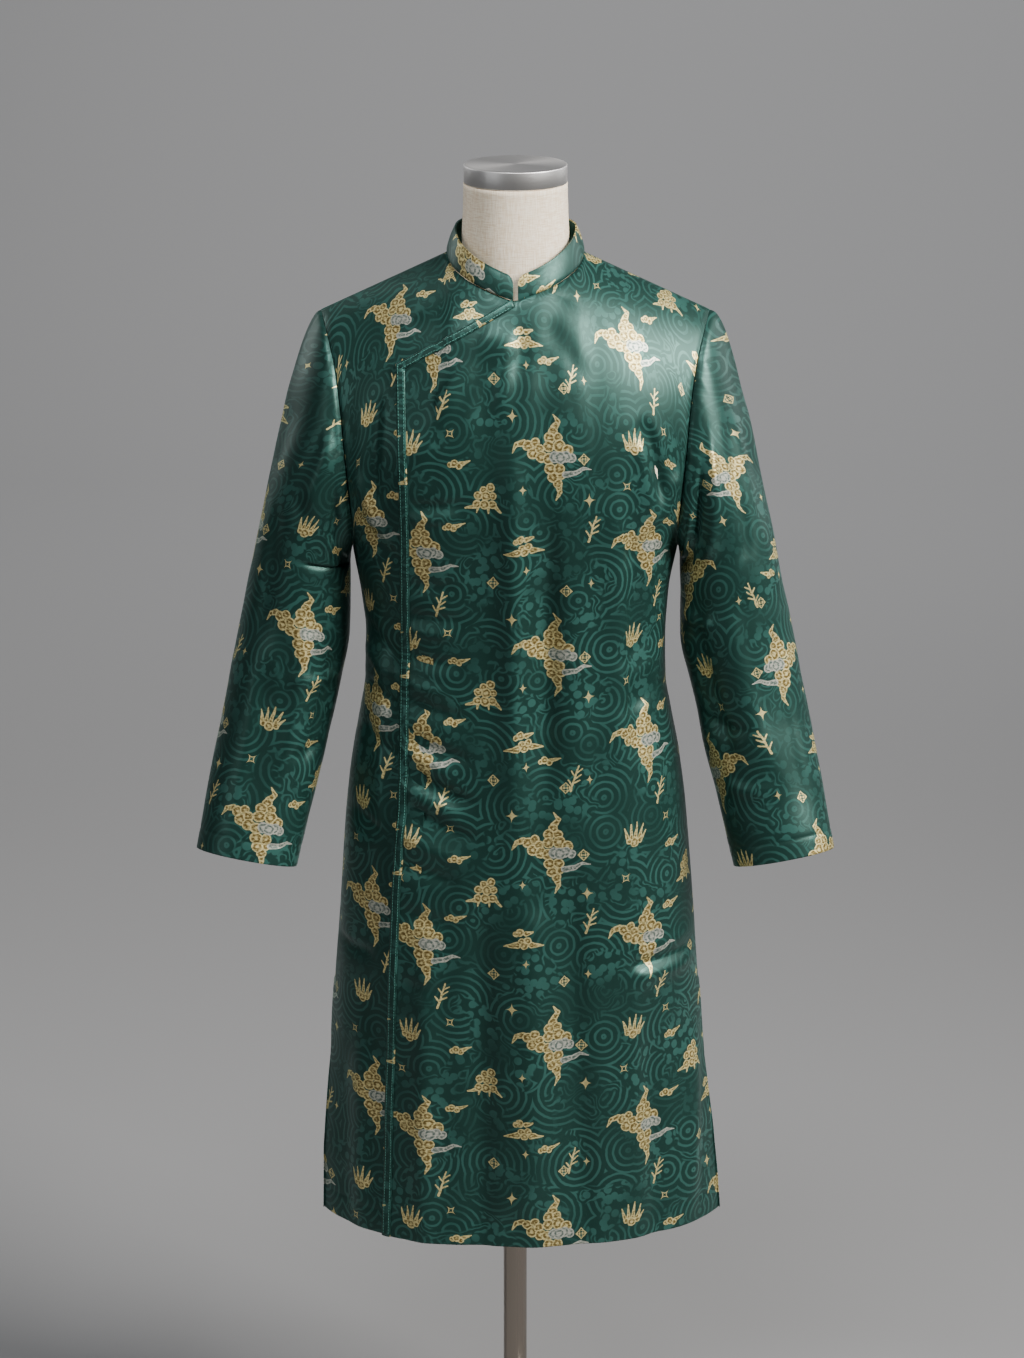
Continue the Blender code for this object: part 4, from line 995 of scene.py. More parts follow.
# Small figures, in millimetres from the middle of each
DOUBLE_CLOUD_LIMBS = (
    (-23.0, -9.5, 0.6, -8.0, -7.0, 4.2),
    (22.0, -8.0, 0.6, 8.0, -6.5, 4.0),
    (9.5, 8.5, 1.2, 2.0, 7.0, 3.2),
)
DOUBLE_CLOUD_LOBES = (
    (-5.0, 8.0, 4.6),
    (-9.5, 6.0, 3.4),
    (4.0, -1.5, 4.4),
    (-3.0, -2.5, 4.2),
    (0.0, -7.5, 4.6),
)
LONE_CLOUD_LIMBS = ((3.0, 0.5, 3.0, 14.5, 4.5, 0.5),)
LONE_CLOUD_LOBES = (
    (-8.0, -0.5, 3.2),
    (2.0, -1.5, 3.6),
    (-3.5, 1.0, 4.4),
)
TURRET_LIMBS = (
    (-9.0, -9.0, 3.0, -21.0, -11.5, 1.0),
    (11.0, -8.0, 2.8, 19.0, -15.5, 1.0),
    (-7.0, -10.0, 1.8, -8.5, -16.5, 0.7),
    (4.5, -10.0, 1.8, 5.0, -17.0, 0.7),
)
TURRET_LOBES = (
    (-8.0, -7.0, 5.0),
    (9.0, -7.0, 5.0),
    (0.5, -7.5, 5.6),
    (-7.0, 3.0, 4.8),
    (-1.0, 9.5, 4.4),
    (10.0, 3.0, 4.4),
    (7.0, 12.5, 5.0),
    (2.0, 2.5, 5.6),
)
FLAME_LIMBS = (
    (-8.0, -6.0, 2.6, -12.5, 8.0, 0.6),
    (-4.0, -4.0, 2.4, -4.5, 12.0, 0.6),
    (1.0, -4.0, 2.4, 3.5, 14.0, 0.6),
    (6.0, -6.0, 2.6, 11.5, 10.5, 0.6),
    (8.0, -8.0, 2.2, 15.0, 2.0, 0.6),
)
FLAME_LOBES = ((-7.0, -7.5, 3.4), (7.0, -8.0, 3.4), (0.0, -9.5, 5.4))
CORAL_LIMBS = (
    (-5.0, -12.0, 1.3, 3.5, 17.0, 0.8),
    (-3.5, -6.0, 1.0, -8.0, 1.0, 0.7),
    (-1.0, 2.0, 1.0, 6.5, 7.0, 0.7),
    (-2.5, -3.0, 1.0, 5.5, 0.0, 0.7),
    (1.0, 9.0, 0.9, 8.0, 13.5, 0.7),
    (-0.5, 5.0, 0.9, -4.0, 11.0, 0.7),
)

# Where the small figures stand in the repeat; some come only on every other repeat upwards
DOUBLE_CLOUDS = ((113.0, 12.0),)
LONE_CLOUDS = ((32.0, 32.0), (32.0, -200.5), (37.0, 104.0), (37.0, -128.5), (140.0, -246.0))
TURRETS = ((68.0, 66.0),)
FLAMES = ((-20.0, -106.0),)
CORALS = ((18.0, -64.0), (18.0, 168.5), (190.0, 26.0), (171.0, -268.0))
SOLID_STARS = ((99.0, -74.0), (-76.0, 62.0))
SQUARE_STARS = ((27.0, -94.0), (-31.0, 76.0))
THIN_CROSSES = ((115.0, -18.0), (111.0, 76.0), (-74.0, -36.0))
ROSETTES = ((78.0, -33.0), (160.0, -44.0), (-81.0, 109.0))


def nearest(tree, place, spots, repeat):
    """Place measured from the nearest of some spots in a repeat."""
    best = None
    for x, y in spots:
        away = vectors(tree, "SUBTRACT", place, (x, y, 0.0))
        half = (repeat[0] * 0.5, repeat[1] * 0.5, 1.0)
        local = vectors(tree, "WRAP", away, half, (-half[0], -half[1], -1.0))
        if best is None:
            best = local
            continue
        closer = sums(
            tree, "LESS_THAN", vectors(tree, "LENGTH", local), vectors(tree, "LENGTH", best)
        )
        best = blend(tree, closer, best, local, "VECTOR")
    return best


def split(tree, place):
    """Both sides of a place, folded onto one quarter."""
    node = tree.nodes.new("ShaderNodeSeparateXYZ")
    fill(tree, node.inputs[0], vectors(tree, "ABSOLUTE", place))
    return Wire(tree, node.outputs[0]), Wire(tree, node.outputs[1])


def star_gap(tree, place, across, up):
    """Value below zero inside a star of four hollow sides."""
    x, y = split(tree, place)
    a = sums(tree, "SQRT", x * (1.0 / across))
    b = sums(tree, "SQRT", y * (1.0 / up))
    return a + b - 1.0


def make_brocade():
    """Green satin ground with its damask, and the woven gold and silver figures."""
    inputs = (
        ("Place", "NodeSocketVector", None),
        ("Ground", "NodeSocketColor", (0.0055, 0.022, 0.018, 1.0)),
        ("Damask", "NodeSocketColor", (0.024, 0.080, 0.068, 1.0)),
        ("Gold", "NodeSocketColor", (0.80, 0.68, 0.32, 1.0)),
        ("Tan", "NodeSocketColor", (0.170, 0.110, 0.028, 1.0)),
        ("Silver", "NodeSocketColor", (0.56, 0.56, 0.48, 1.0)),
        ("Slate", "NodeSocketColor", (0.115, 0.155, 0.135, 1.0)),
    )
    outputs = (
        ("Color", "NodeSocketColor"),
        ("Roughness", "NodeSocketFloat"),
        ("Metallic", "NodeSocketFloat"),
        ("Thread", "NodeSocketFloat"),
    )
    tree, w, leave = new_group("cloud_brocade", inputs, outputs)
    place = vectors(tree, "SCALE", w["Place"], scale=1000.0)
    sway = noise(tree, place, 0.11, 1.0, 0.5, True)
    sway = vectors(tree, "SUBTRACT", sway, (0.5, 0.5, 0.5))
    place = vectors(tree, "MULTIPLY_ADD", sway, (2.2, 2.2, 0.0), place)
    double = (REPEAT[0], REPEAT[1] * 2.0)

    # damask: rings round scattered centres, and between them flowing lines
    cells = tree.nodes.new("ShaderNodeTexVoronoi")
    cells.voronoi_dimensions = "2D"
    fill(tree, cells.inputs["Vector"], place)
    cells.inputs["Scale"].default_value = 1.0 / 62.0
    cells.inputs["Randomness"].default_value = 0.85
    ring = sums(tree, "SINE", Wire(tree, cells.outputs["Distance"]) * (2.0 * math.pi * 62.0 / 8.2))
    ring = ramp(tree, ring, 0.25, 0.70)
    drift = noise(tree, place, 0.021, 1.0, 0.4)
    flow = sums(tree, "SINE", noise(tree, place, 0.028, 1.5, 0.45) * 82.0)
    flow = ramp(tree, flow, 0.2, 0.7)
    line = blend(tree, ramp(tree, drift, 0.50, 0.54), ring, flow, "FLOAT")
    puffs = tree.nodes.new("ShaderNodeTexVoronoi")
    puffs.voronoi_dimensions = "2D"
    fill(tree, puffs.inputs["Vector"], place)
    puffs.inputs["Scale"].default_value = 1.0 / 11.0
    puff = ramp(tree, Wire(tree, puffs.outputs["Distance"]), 0.46, 0.40)
    where = ramp(tree, drift, 0.57, 0.60)
    line = blend(tree, where, line, puff, "FLOAT")
    depth = ramp(tree, noise(tree, place, 0.014, 1.0, 0.5), 0.30, 0.62)
    line = line * sums(tree, "MULTIPLY_ADD", depth, 0.75, 0.25)
    base = blend(tree, line * 0.92, w["Ground"], w["Damask"])

    # large figure, drawn once at whichever of its two stands is the nearer
    local = nearest(tree, place, ((0.0, 0.0), SECOND_FIGURE), REPEAT)
    gold = Painter(tree, local)
    gold.limbs(FIGURE_HORNS)
    gold.lobes(FIGURE_LOBES)
    silver = Painter(tree, local, 2.6)
    silver.lobes(SILVER_LOBES)
    silver.limbs(SILVER_TAIL)

    # small figures
    figure = gold.figure
    light = gold.light
    for spots, repeat, limbs, lobes in (
        (DOUBLE_CLOUDS, REPEAT, DOUBLE_CLOUD_LIMBS, DOUBLE_CLOUD_LOBES),
        (TURRETS, REPEAT, TURRET_LIMBS, TURRET_LOBES),
        (FLAMES, REPEAT, FLAME_LIMBS, FLAME_LOBES),
        (LONE_CLOUDS, double, LONE_CLOUD_LIMBS, LONE_CLOUD_LOBES),
        (CORALS, double, CORAL_LIMBS, ()),
    ):
        local = nearest(tree, place, spots, repeat)
        mark = Painter(tree, local, 2.4)
        mark.limbs(limbs, True)
        mark.lobes(lobes)
        figure = sums(tree, "MAXIMUM", figure, mark.figure)
        light = blend(tree, mark.figure, light, mark.light, "FLOAT")

    # stars, crosses and rosettes
    local = nearest(tree, place, SOLID_STARS, REPEAT)
    stars = ramp(tree, star_gap(tree, local, 7.5, 9.0), 0.03, -0.03)
    local = nearest(tree, place, SQUARE_STARS, REPEAT)
    turned = tree.nodes.new("ShaderNodeVectorRotate")
    turned.rotation_type = "Z_AXIS"
    fill(tree, turned.inputs["Vector"], local)
    turned.inputs["Angle"].default_value = math.radians(45.0)
    gap = sums(tree, "ABSOLUTE", star_gap(tree, Wire(tree, turned.outputs[0]), 8.6, 8.6) + 0.16)
    stars = sums(tree, "MAXIMUM", stars, ramp(tree, gap, 0.13, 0.08))
    local = nearest(tree, place, THIN_CROSSES, REPEAT)
    stars = sums(tree, "MAXIMUM", stars, ramp(tree, star_gap(tree, local, 6.0, 8.0) + 0.12, 0.05, -0.02))
    local = nearest(tree, place, ROSETTES, REPEAT)
    x, y = split(tree, local)
    spread = sums(tree, "ADD", x, y)
    lace = sums(tree, "SINE", (x - y) * 1.15)
    lace = ramp(tree, lace * sums(tree, "COSINE", spread * 1.15), 0.05, -0.25)
    edge = sums(tree, "ABSOLUTE", spread - 6.4)
    rosette = sums(tree, "MAXIMUM", lace * ramp(tree, spread, 6.6, 6.2), ramp(tree, edge, 0.9, 0.5))
    stars = sums(tree, "MAXIMUM", stars, rosette)

    # threads: a random speckle lightens the gold and silver, partly the grain of the metal threads and
    # partly painted glints
    grain_and_glints = noise(tree, vectors(tree, "MULTIPLY", place, (0.6, 1.0, 1.0)), 0.46, 2.0, 0.6)
    grain_and_glints = ramp(tree, grain_and_glints, 0.32, 0.68)
    painted_glints = sums(tree, "MULTIPLY_ADD", grain_and_glints, 0.90, -0.42)
    light = ramp(tree, light, 2.3, 0.7)
    outline_and_glints = sums(tree, "ADD", sums(tree, "MULTIPLY_ADD", light, 0.74, 0.10), painted_glints, clamp=True)
    color = blend(tree, figure, base, blend(tree, outline_and_glints, w["Tan"], w["Gold"]))
    # the stars are lightened by the same speckle: thread grain and painted glints
    bright = sums(tree, "MULTIPLY_ADD", grain_and_glints, 0.30, 0.62)
    color = blend(tree, stars, color, blend(tree, bright, w["Tan"], w["Gold"]))
    # the silver's outlines are lightened, with painted glints from the same speckle
    outline_and_glints = ramp(tree, silver.light, 2.1, 0.7)
    outline_and_glints = sums(tree, "ADD", sums(tree, "MULTIPLY_ADD", outline_and_glints, 0.70, 0.20), painted_glints, clamp=True)
    color = blend(tree, silver.figure, color, blend(tree, outline_and_glints, w["Slate"], w["Silver"]))
    drawn = sums(tree, "MAXIMUM", sums(tree, "MAXIMUM", figure, stars), silver.figure)
    rough = blend(tree, drawn, sums(tree, "MULTIPLY_ADD", line, -0.08, 0.43), 0.45, "FLOAT")
    tree.links.new(color.socket, leave.inputs["Color"])
    tree.links.new(rough.socket, leave.inputs["Roughness"])
    tree.links.new((drawn * 0.62).socket, leave.inputs["Metallic"])
    tree.links.new(drawn.socket, leave.inputs["Thread"])
    return tree


def make_weave():
    """Fine relief of the threads, cheap enough to be sampled often."""
    inputs = (("Place", "NodeSocketVector", None),)
    tree, w, leave = new_group("thread_relief", inputs, (("Height", "NodeSocketFloat"),))
    fine = noise(tree, vectors(tree, "MULTIPLY", w["Place"], (900.0, 1500.0, 1.0)), 1.0, 1.0, 0.5)
    slow = noise(tree, w["Place"], 60.0, 2.0, 0.5)
    tree.links.new((fine * 0.35 + slow).socket, leave.inputs["Height"])
    return tree


def new_material(name):
    """Empty material and its shader."""
    material = bpy.data.materials.new(name)
    material.use_nodes = True
    return material, material.node_tree, material.node_tree.nodes["Principled BSDF"]


def use_group(tree, group, place):
    """A group in a material, fed with a place."""
    node = tree.nodes.new("ShaderNodeGroup")
    node.node_tree = group
    fill(tree, node.inputs["Place"], place)
    return node


def add_bump(tree, shader, height, strength, distance):
    """Fine relief of a finish, from a height."""
    bump = tree.nodes.new("ShaderNodeBump")
    bump.inputs["Strength"].default_value = strength
    bump.inputs["Distance"].default_value = distance
    tree.links.new(height, bump.inputs["Height"])
    tree.links.new(bump.outputs["Normal"], shader.inputs["Normal"])


def cloth_material(name, shift):
    """Brocade cut from the cloth at its own place."""
    material, tree, shader = new_material(name)
    source = tree.nodes.new("ShaderNodeUVMap")
    source.uv_map = "cloth"
    place = Wire(tree, source.outputs[0])
    place = vectors(tree, "ADD", place, (shift[0], shift[1], 0.0))
    pattern = use_group(tree, brocade, place)
    relief = use_group(tree, weave, place)
    tree.links.new(pattern.outputs["Color"], shader.inputs["Base Color"])
    tree.links.new(pattern.outputs["Roughness"], shader.inputs["Roughness"])
    tree.links.new(pattern.outputs["Metallic"], shader.inputs["Metallic"])
    add_bump(tree, shader, relief.outputs["Height"], 0.22, 0.0008)
    shader.inputs["Specular IOR Level"].default_value = 0.70
    shader.inputs["Specular Tint"].default_value = (0.46, 0.88, 0.76, 1.0)
    shader.inputs["Anisotropic"].default_value = 0.35
    shader.inputs["Sheen Weight"].default_value = 0.04
    shader.inputs["Sheen Roughness"].default_value = 0.45
    shader.inputs["Sheen Tint"].default_value = (0.45, 0.85, 0.75, 1.0)
    return material


def plain_material(name, color, roughness, metallic=0.0):
    """Even colour with a little unevenness of its finish."""
    material, tree, shader = new_material(name)
    shader.inputs["Base Color"].default_value = (*color, 1.0)
    shader.inputs["Roughness"].default_value = roughness
    shader.inputs["Metallic"].default_value = metallic
    source = tree.nodes.new("ShaderNodeTexCoord")
    relief = noise(tree, Wire(tree, source.outputs["Object"]), 900.0, 1.0, 0.5)
    bump = tree.nodes.new("ShaderNodeBump")
    bump.inputs["Strength"].default_value = 0.15
    bump.inputs["Distance"].default_value = 0.0004
    tree.links.new(relief.socket, bump.inputs["Height"])
    tree.links.new(bump.outputs["Normal"], shader.inputs["Normal"])
    return material


def linen_material():
    """Natural linen: crossing uneven threads."""
    material, tree, shader = new_material("linen")
    source = tree.nodes.new("ShaderNodeTexCoord")
    place = Wire(tree, source.outputs["Object"])
    warp = noise(tree, vectors(tree, "MULTIPLY", place, (1500.0, 1500.0, 60.0)), 1.0, 1.0, 0.5)
    weft = noise(tree, vectors(tree, "MULTIPLY", place, (90.0, 90.0, 1500.0)), 1.0, 1.0, 0.5)
    cross = warp + weft
    tone = ramp(tree, cross, 0.75, 1.25)
    color = blend(tree, tone, (0.78, 0.62, 0.43, 1.0), (0.98, 0.88, 0.71, 1.0))
    tree.links.new(color.socket, shader.inputs["Base Color"])
    shader.inputs["Roughness"].default_value = 0.9
    shader.inputs["Specular IOR Level"].default_value = 0.2
    shader.inputs["Sheen Weight"].default_value = 0.15
    add_bump(tree, shader, cross.socket, 0.4, 0.0006)
    return material


def steel_material(name, color, roughness, along):
    """Steel brushed round (along 0) or polished bar with faint draw lines (along 1)."""
    material, tree, shader = new_material(name)
    source = tree.nodes.new("ShaderNodeTexCoord")
    place = Wire(tree, source.outputs["Object"])
    node = tree.nodes.new("ShaderNodeSeparateXYZ")
    fill(tree, node.inputs[0], place)
    flat = vectors(tree, "MULTIPLY", place, (1.0, 1.0, 0.0))
    radius = vectors(tree, "LENGTH", flat)
    height = Wire(tree, node.outputs[2])
    stretch = radius + height if not along else radius * 0.2 + Wire(tree, node.outputs[0])
    lines = tree.nodes.new("ShaderNodeTexNoise")
    lines.noise_dimensions = "1D"
    fill(tree, lines.inputs["W"], stretch)
    lines.inputs["Scale"].default_value = 1900.0
    lines.inputs["Detail"].default_value = 2.0
    streak = Wire(tree, lines.outputs["Fac"])
    rough = sums(tree, "MULTIPLY_ADD", streak, 0.16, roughness - 0.08)
    tree.links.new(rough.socket, shader.inputs["Roughness"])
    shader.inputs["Base Color"].default_value = (*color, 1.0)
    shader.inputs["Metallic"].default_value = 1.0
    shader.inputs["Anisotropic"].default_value = 0.5
    add_bump(tree, shader, streak.socket, 0.12, 0.0003)
    return material


brocade = make_brocade()
weave = make_weave()
inside_cloth = plain_material("brocade_reverse", (0.020, 0.085, 0.066), 0.6)
linen = linen_material()
cap_steel = steel_material("cap_steel", (0.78, 0.77, 0.76), 0.42, 0)
pole_steel = steel_material("pole_steel", (0.30, 0.26, 0.22), 0.24, 1)
base_steel = steel_material("base_steel", (0.58, 0.57, 0.56), 0.32, 0)

# ---------------------------------------------------------------- panels

FRONT_SHIFT = (0.103, -1.2125)
UNDER_SHIFT = (0.171, -1.245)
BACK_SHIFT = (0.060, -1.150)

edge_ups = np.linspace(0.0, 2.0, 401)
edge_shares = np.full(edge_ups.shape, -0.62)
for _ in range(60):
    p = front_net.point(edge_shares, edge_ups)
    q = front_net.point(edge_shares + 0.004, edge_ups)
    want = column(FLAP, p[:, 2], 1)
    edge_shares = edge_shares + 0.8 * (want - p[:, 0]) * 0.004 / (q[:, 0] - p[:, 0])


def front_place(fraction, up):
    """Share across of a column of the main front."""
    first = np.interp(up, edge_ups, edge_shares)
    return first + (1.0 - SIDE_GAP - first) * fraction


def slant_height(x):
    """Height of the flap's slanting edge."""
    t = (x - FLAP_CORNER[0]) / (FLAP_END[0] - FLAP_CORNER[0])
    return FLAP_CORNER[1] + (FLAP_END[1] - FLAP_CORNER[1]) * t


HEM_ROWS = (0.0, 0.0012, 0.003, 0.007, 0.012, 0.017, 0.022, 0.0262, 0.0280, 0.0298, 0.034)
low_ups = np.concatenate(
    (
        np.array(HEM_ROWS) / (UNDERARM - HEM),
        np.linspace(0.039 / (UNDERARM - HEM), 1.0, 166),
    )
)
up_steps = np.concatenate((np.linspace(0.0, 0.955, 62)[1:], (0.972, 0.984, 0.993, 1.0)))


def hem_press(up):
    """Slight sink of the line where the hem is turned up."""
    height = up * (UNDERARM - HEM)
    return -0.00045 * np.exp(-(((height - HEM_DEPTH) / 0.0016) ** 2))


def build_front():
    """Main front: from the flap edge to the wearer's left side seam and armhole."""
    fractions = edge_steps(0.42, STEP)
    low = np.full(fractions.shape, 1.2)
    high = np.full(fractions.shape, 2.0)
    p = front_net.point(front_place(fractions, high), high)
    whole = (p[:, 2] <= slant_height(p[:, 0])) | (p[:, 0] > 0.0)
    for _ in range(40):
        mid = 0.5 * (low + high)
        p = front_net.point(front_place(fractions, mid), mid)
        over = p[:, 2] > slant_height(p[:, 0])
        high = np.where(over, mid, high)
        low = np.where(over, low, mid)
    tops = np.where(whole, 2.0, 0.5 * (low + high))
    up_low = np.broadcast_to(low_ups[:, None], (len(low_ups), len(fractions)))
    up_top = 1.0 + (tops[None, :] - 1.0) * up_steps[:, None]
    up = np.concatenate((up_low, up_top))
    share = front_place(fractions[None, :], up)
    cut = front_net.cut(share, up)
    points, normals = front_surface(share, up, flap_lift(share, up) + hem_press(up), FRONT_CREASES, 3)
    side = cut[:, -1:, 0] - cut[..., 0]
    sewn = np.where(points[..., 2] > SLIT_TOP - 0.004, seam_dip(side), 0.0)
    top = cut[-1:, :, 1] - cut[..., 1]
    sewn = np.maximum(sewn, np.where(whole[None, :], seam_dip(top), 0.0))
    points = points - normals * sewn[..., None]
    points[:, -1, 1] -= side_open(points[:, -1, 2])
    item = shell("front_panel", points, cut, False, normals, CLOTH_THICK, [front_cloth, inside_cloth])
    return item, points


def build_under_front():
    """Under front: the wearer's right side, carried on beneath the flap."""
    up = np.concatenate((low_ups, 1.0 + up_steps))
    fractions = edge_steps(0.20, STEP)
    last = under_edge_share(up)[:, None]
    share = -1.0 + SIDE_GAP + (last + 1.0 - SIDE_GAP) * fractions[None, :]
    up = np.broadcast_to(up[:, None], share.shape)
    cut = front_net.cut(share, up)
    points, normals = front_surface(share, up, hem_press(up), UNDER_CREASES, 3)
    side = cut[..., 0] - cut[:, :1, 0]
    sewn = np.where(points[..., 2] > SLIT_TOP - 0.004, seam_dip(side), 0.0)
    sewn = np.maximum(sewn, seam_dip(cut[-1:, :, 1] - cut[..., 1]))
    points = points - normals * sewn[..., None]
    points[:, 0, 1] -= side_open(points[:, 0, 2])
    item = shell("under_front_panel", points, cut, False, normals, CLOTH_THICK, [under_cloth, inside_cloth])
    return item, points


def build_back():
    """Back panel from side seam to side seam."""
    up = np.concatenate((low_ups, 1.0 + up_steps))
    fractions = edge_steps(0.50, STEP)
    share = (-1.0 + SIDE_GAP + (2.0 - 2.0 * SIDE_GAP) * fractions)[None, :]
    share = np.broadcast_to(share, (len(up), len(fractions)))
    up = np.broadcast_to(up[:, None], share.shape)
    cut = back_net.cut(share, up)
    points, normals = back_surface(share, up, hem_press(up))
    side = np.minimum(cut[..., 0] - cut[:, :1, 0], cut[:, -1:, 0] - cut[..., 0])
    sewn = np.where(points[..., 2] > SLIT_TOP - 0.004, seam_dip(side), 0.0)
    sewn = np.maximum(sewn, seam_dip(cut[-1:, :, 1] - cut[..., 1]))
    points = points - normals * sewn[..., None]
    for col in (0, -1):
        points[:, col, 1] += side_open(points[:, col, 2])
    item = shell("back_panel", points, cut, False, normals, CLOTH_THICK, [back_cloth, inside_cloth])
    return item, points


def strip_path():
    """Line of the flap's edge as widths and heights, with the direction square to it."""
    heights = np.linspace(HEM, FLAP_CORNER[1], 260)
    edge = np.stack((column(FLAP, heights, 1), heights), axis=-1)
    t = np.linspace(0.0, 1.0, 46)[1:, None]
    slant = np.array(FLAP_CORNER) * (1 - t) + np.array(FLAP_END) * t
    line = np.concatenate((edge, slant))
    ahead = unit(np.gradient(line, axis=0))
    inward = np.stack((ahead[:, 1], -ahead[:, 0]), axis=-1)
    corner = len(edge) - 1
    mitre = unit(inward[corner - 3] + inward[corner + 3])
    turn = float(np.dot(mitre, inward[corner - 3]))
    width = np.full(len(line), STRIP_WIDTH)
    width[corner + 1 :] = STRIP_WIDTH_SLANTED
    inward[corner] = mitre
    width[corner] = 0.5 * (STRIP_WIDTH + STRIP_WIDTH_SLANTED) / turn
    return line, inward, width


def build_strip():
    """Edge strip of the flap."""
    line, inward, width = strip_path()
    shares = np.array((0.0, 0.06, 0.16, 0.34, 0.55, 0.76, 0.90, 0.97, 1.0))
    round_over = np.array((-0.0009, -0.0003, 0.0, 0.0002, 0.0003, 0.0002, 0.0, -0.0004, -0.0012))
    spots = line[:, None, :] + inward[:, None, :] * (width[:, None] * shares[None, :])[..., None]
    share, up = front_net.find(spots[..., 0], spots[..., 1], 0.0, 2.0)
    rise = flap_lift(share, up) + STRIP_RISE + round_over[None, :]
    points, normals = front_surface(share, up, rise, FRONT_CREASES, 3)
    run = np.concatenate(([0.0], np.cumsum(np.linalg.norm(np.diff(points[:, 4], axis=0), axis=-1))))
    across = np.broadcast_to(shares * STRIP_WIDTH, share.shape)
    flat = np.stack((across, np.broadcast_to(run[:, None], share.shape)), axis=-1)
    return shell("flap_edge_strip", points, flat, False, normals, STRIP_THICK, [strip_cloth, inside_cloth])


def build_stitches():
    """Running stitches along both sides of the strip, as one mesh."""
    line, inward, width = strip_path()
    length = np.concatenate(([0.0], np.cumsum(np.linalg.norm(np.diff(line, axis=0), axis=-1))))
    corners = []
    faces = []
    box = ((0, 1, 2, 3), (4, 7, 6, 5), (0, 4, 5, 1), (1, 5, 6, 2), (2, 6, 7, 3), (3, 7, 4, 0))
    for at in (0.20, 0.82):
        starts = np.arange(0.004, length[-1] - 0.006, 0.0034)
        ends = []
        for offset in (0.0, 0.0022):
            s = starts + offset
            spot = np.stack([np.interp(s, length, line[:, k]) for k in (0, 1)], axis=-1)
            side = unit(np.stack([np.interp(s, length, inward[:, k]) for k in (0, 1)], axis=-1))
            wide = np.interp(s, length, width)[:, None]
            near = spot + side * wide * at
            far = near + side * 0.00042
            ends.append((near, far))
        spots = np.stack((ends[0][0], ends[0][1], ends[1][1], ends[1][0]), axis=1)
        share, up = front_net.find(spots[..., 0], spots[..., 1], 0.0, 2.0)
        for rise in (0.00088, 0.00055):
            top, _ = front_surface(share, up, flap_lift(share, up) + STRIP_RISE + rise, FRONT_CREASES, 3)
            corners.append(top)
    verts = []
    for k in (0, 2):
        for high, low in zip(corners[k], corners[k + 1]):
            base = len(verts)
            verts += [tuple(c) for c in high] + [tuple(c) for c in low]
            faces += [tuple(base + i for i in f) for f in box]
    mesh = bpy.data.meshes.new("strip_stitches")
    mesh.from_pydata(verts, [], faces)
    item = bpy.data.objects.new("strip_stitches", mesh)
    bpy.context.scene.collection.objects.link(item)
    mesh.materials.append(stitch_thread)
    return item


def hole_point(side, angle):
    """Armhole seam at angles from the shoulder point, over the front to the underarm."""
    turn = np.mod(angle, 360.0)
    front = turn <= 180.0
    v = np.where(front, 1.0 - turn / 180.0, (turn - 180.0) / 180.0)
    p = [np.where(front, column(ARMHOLE_FRONT, v, k), column(ARMHOLE_BACK, v, k)) for k in (1, 2, 3)]
    return np.stack((side * p[0], p[1], p[2]), axis=-1)


def arm_point(side, share, angle):
    """Sleeve section points below the underarm."""
    share, angle = np.broadcast_arrays(share, angle)
    row = [column(SLEEVE, share, k) for k in range(1, 8)]
    a = np.radians(angle)
    ca = np.copysign(np.abs(np.cos(a)) ** 0.94, np.cos(a))
    sa = np.copysign(np.abs(np.sin(a)) ** 0.94, np.sin(a))
    x = (row[0] + row[2]) * 0.5 + (row[0] - row[2]) * 0.5 * ca
    z = (row[1] + row[3]) * 0.5 + (row[1] - row[3]) * 0.5 * ca + row[5] * sa * row[6]
    y = row[4] - row[5] * sa
    return np.stack((side * x, y, z), axis=-1)


def sleeve_surface(side, share, angle):
    """Sleeve points: share 0 to 1 is the head, 1 to 2 runs down to the cuff."""
    share, angle = np.broadcast_arrays(share, angle)
    start = hole_point(side, angle)
    end = arm_point(side, np.zeros(angle.shape), angle)
    ahead = unit(arm_point(side, np.full(angle.shape, 0.06), angle) - end)
    pull = [column(HEAD, np.mod(angle, 360.0), k) for k in range(1, 5)]
    m0 = np.stack((side * pull[0], pull[1], pull[2]), axis=-1)
    t = np.clip(share, 0.0, 1.0)[..., None]
    head = hermite(start, end, m0, ahead * pull[3][..., None], t)
    arm = arm_point(side, np.clip(share - 1.0, 0.0, 1.0), angle)
    return np.where((share >= 1.0)[..., None], arm, head)


# The unrolled sleeve that its creases are placed on: way round, length of the head and of the
# arm, and the stitched line above the cuff as a share
SLEEVE_ROUND = 0.36
SLEEVE_RUN = 0.36
CUFF_SEAM = 1.9345


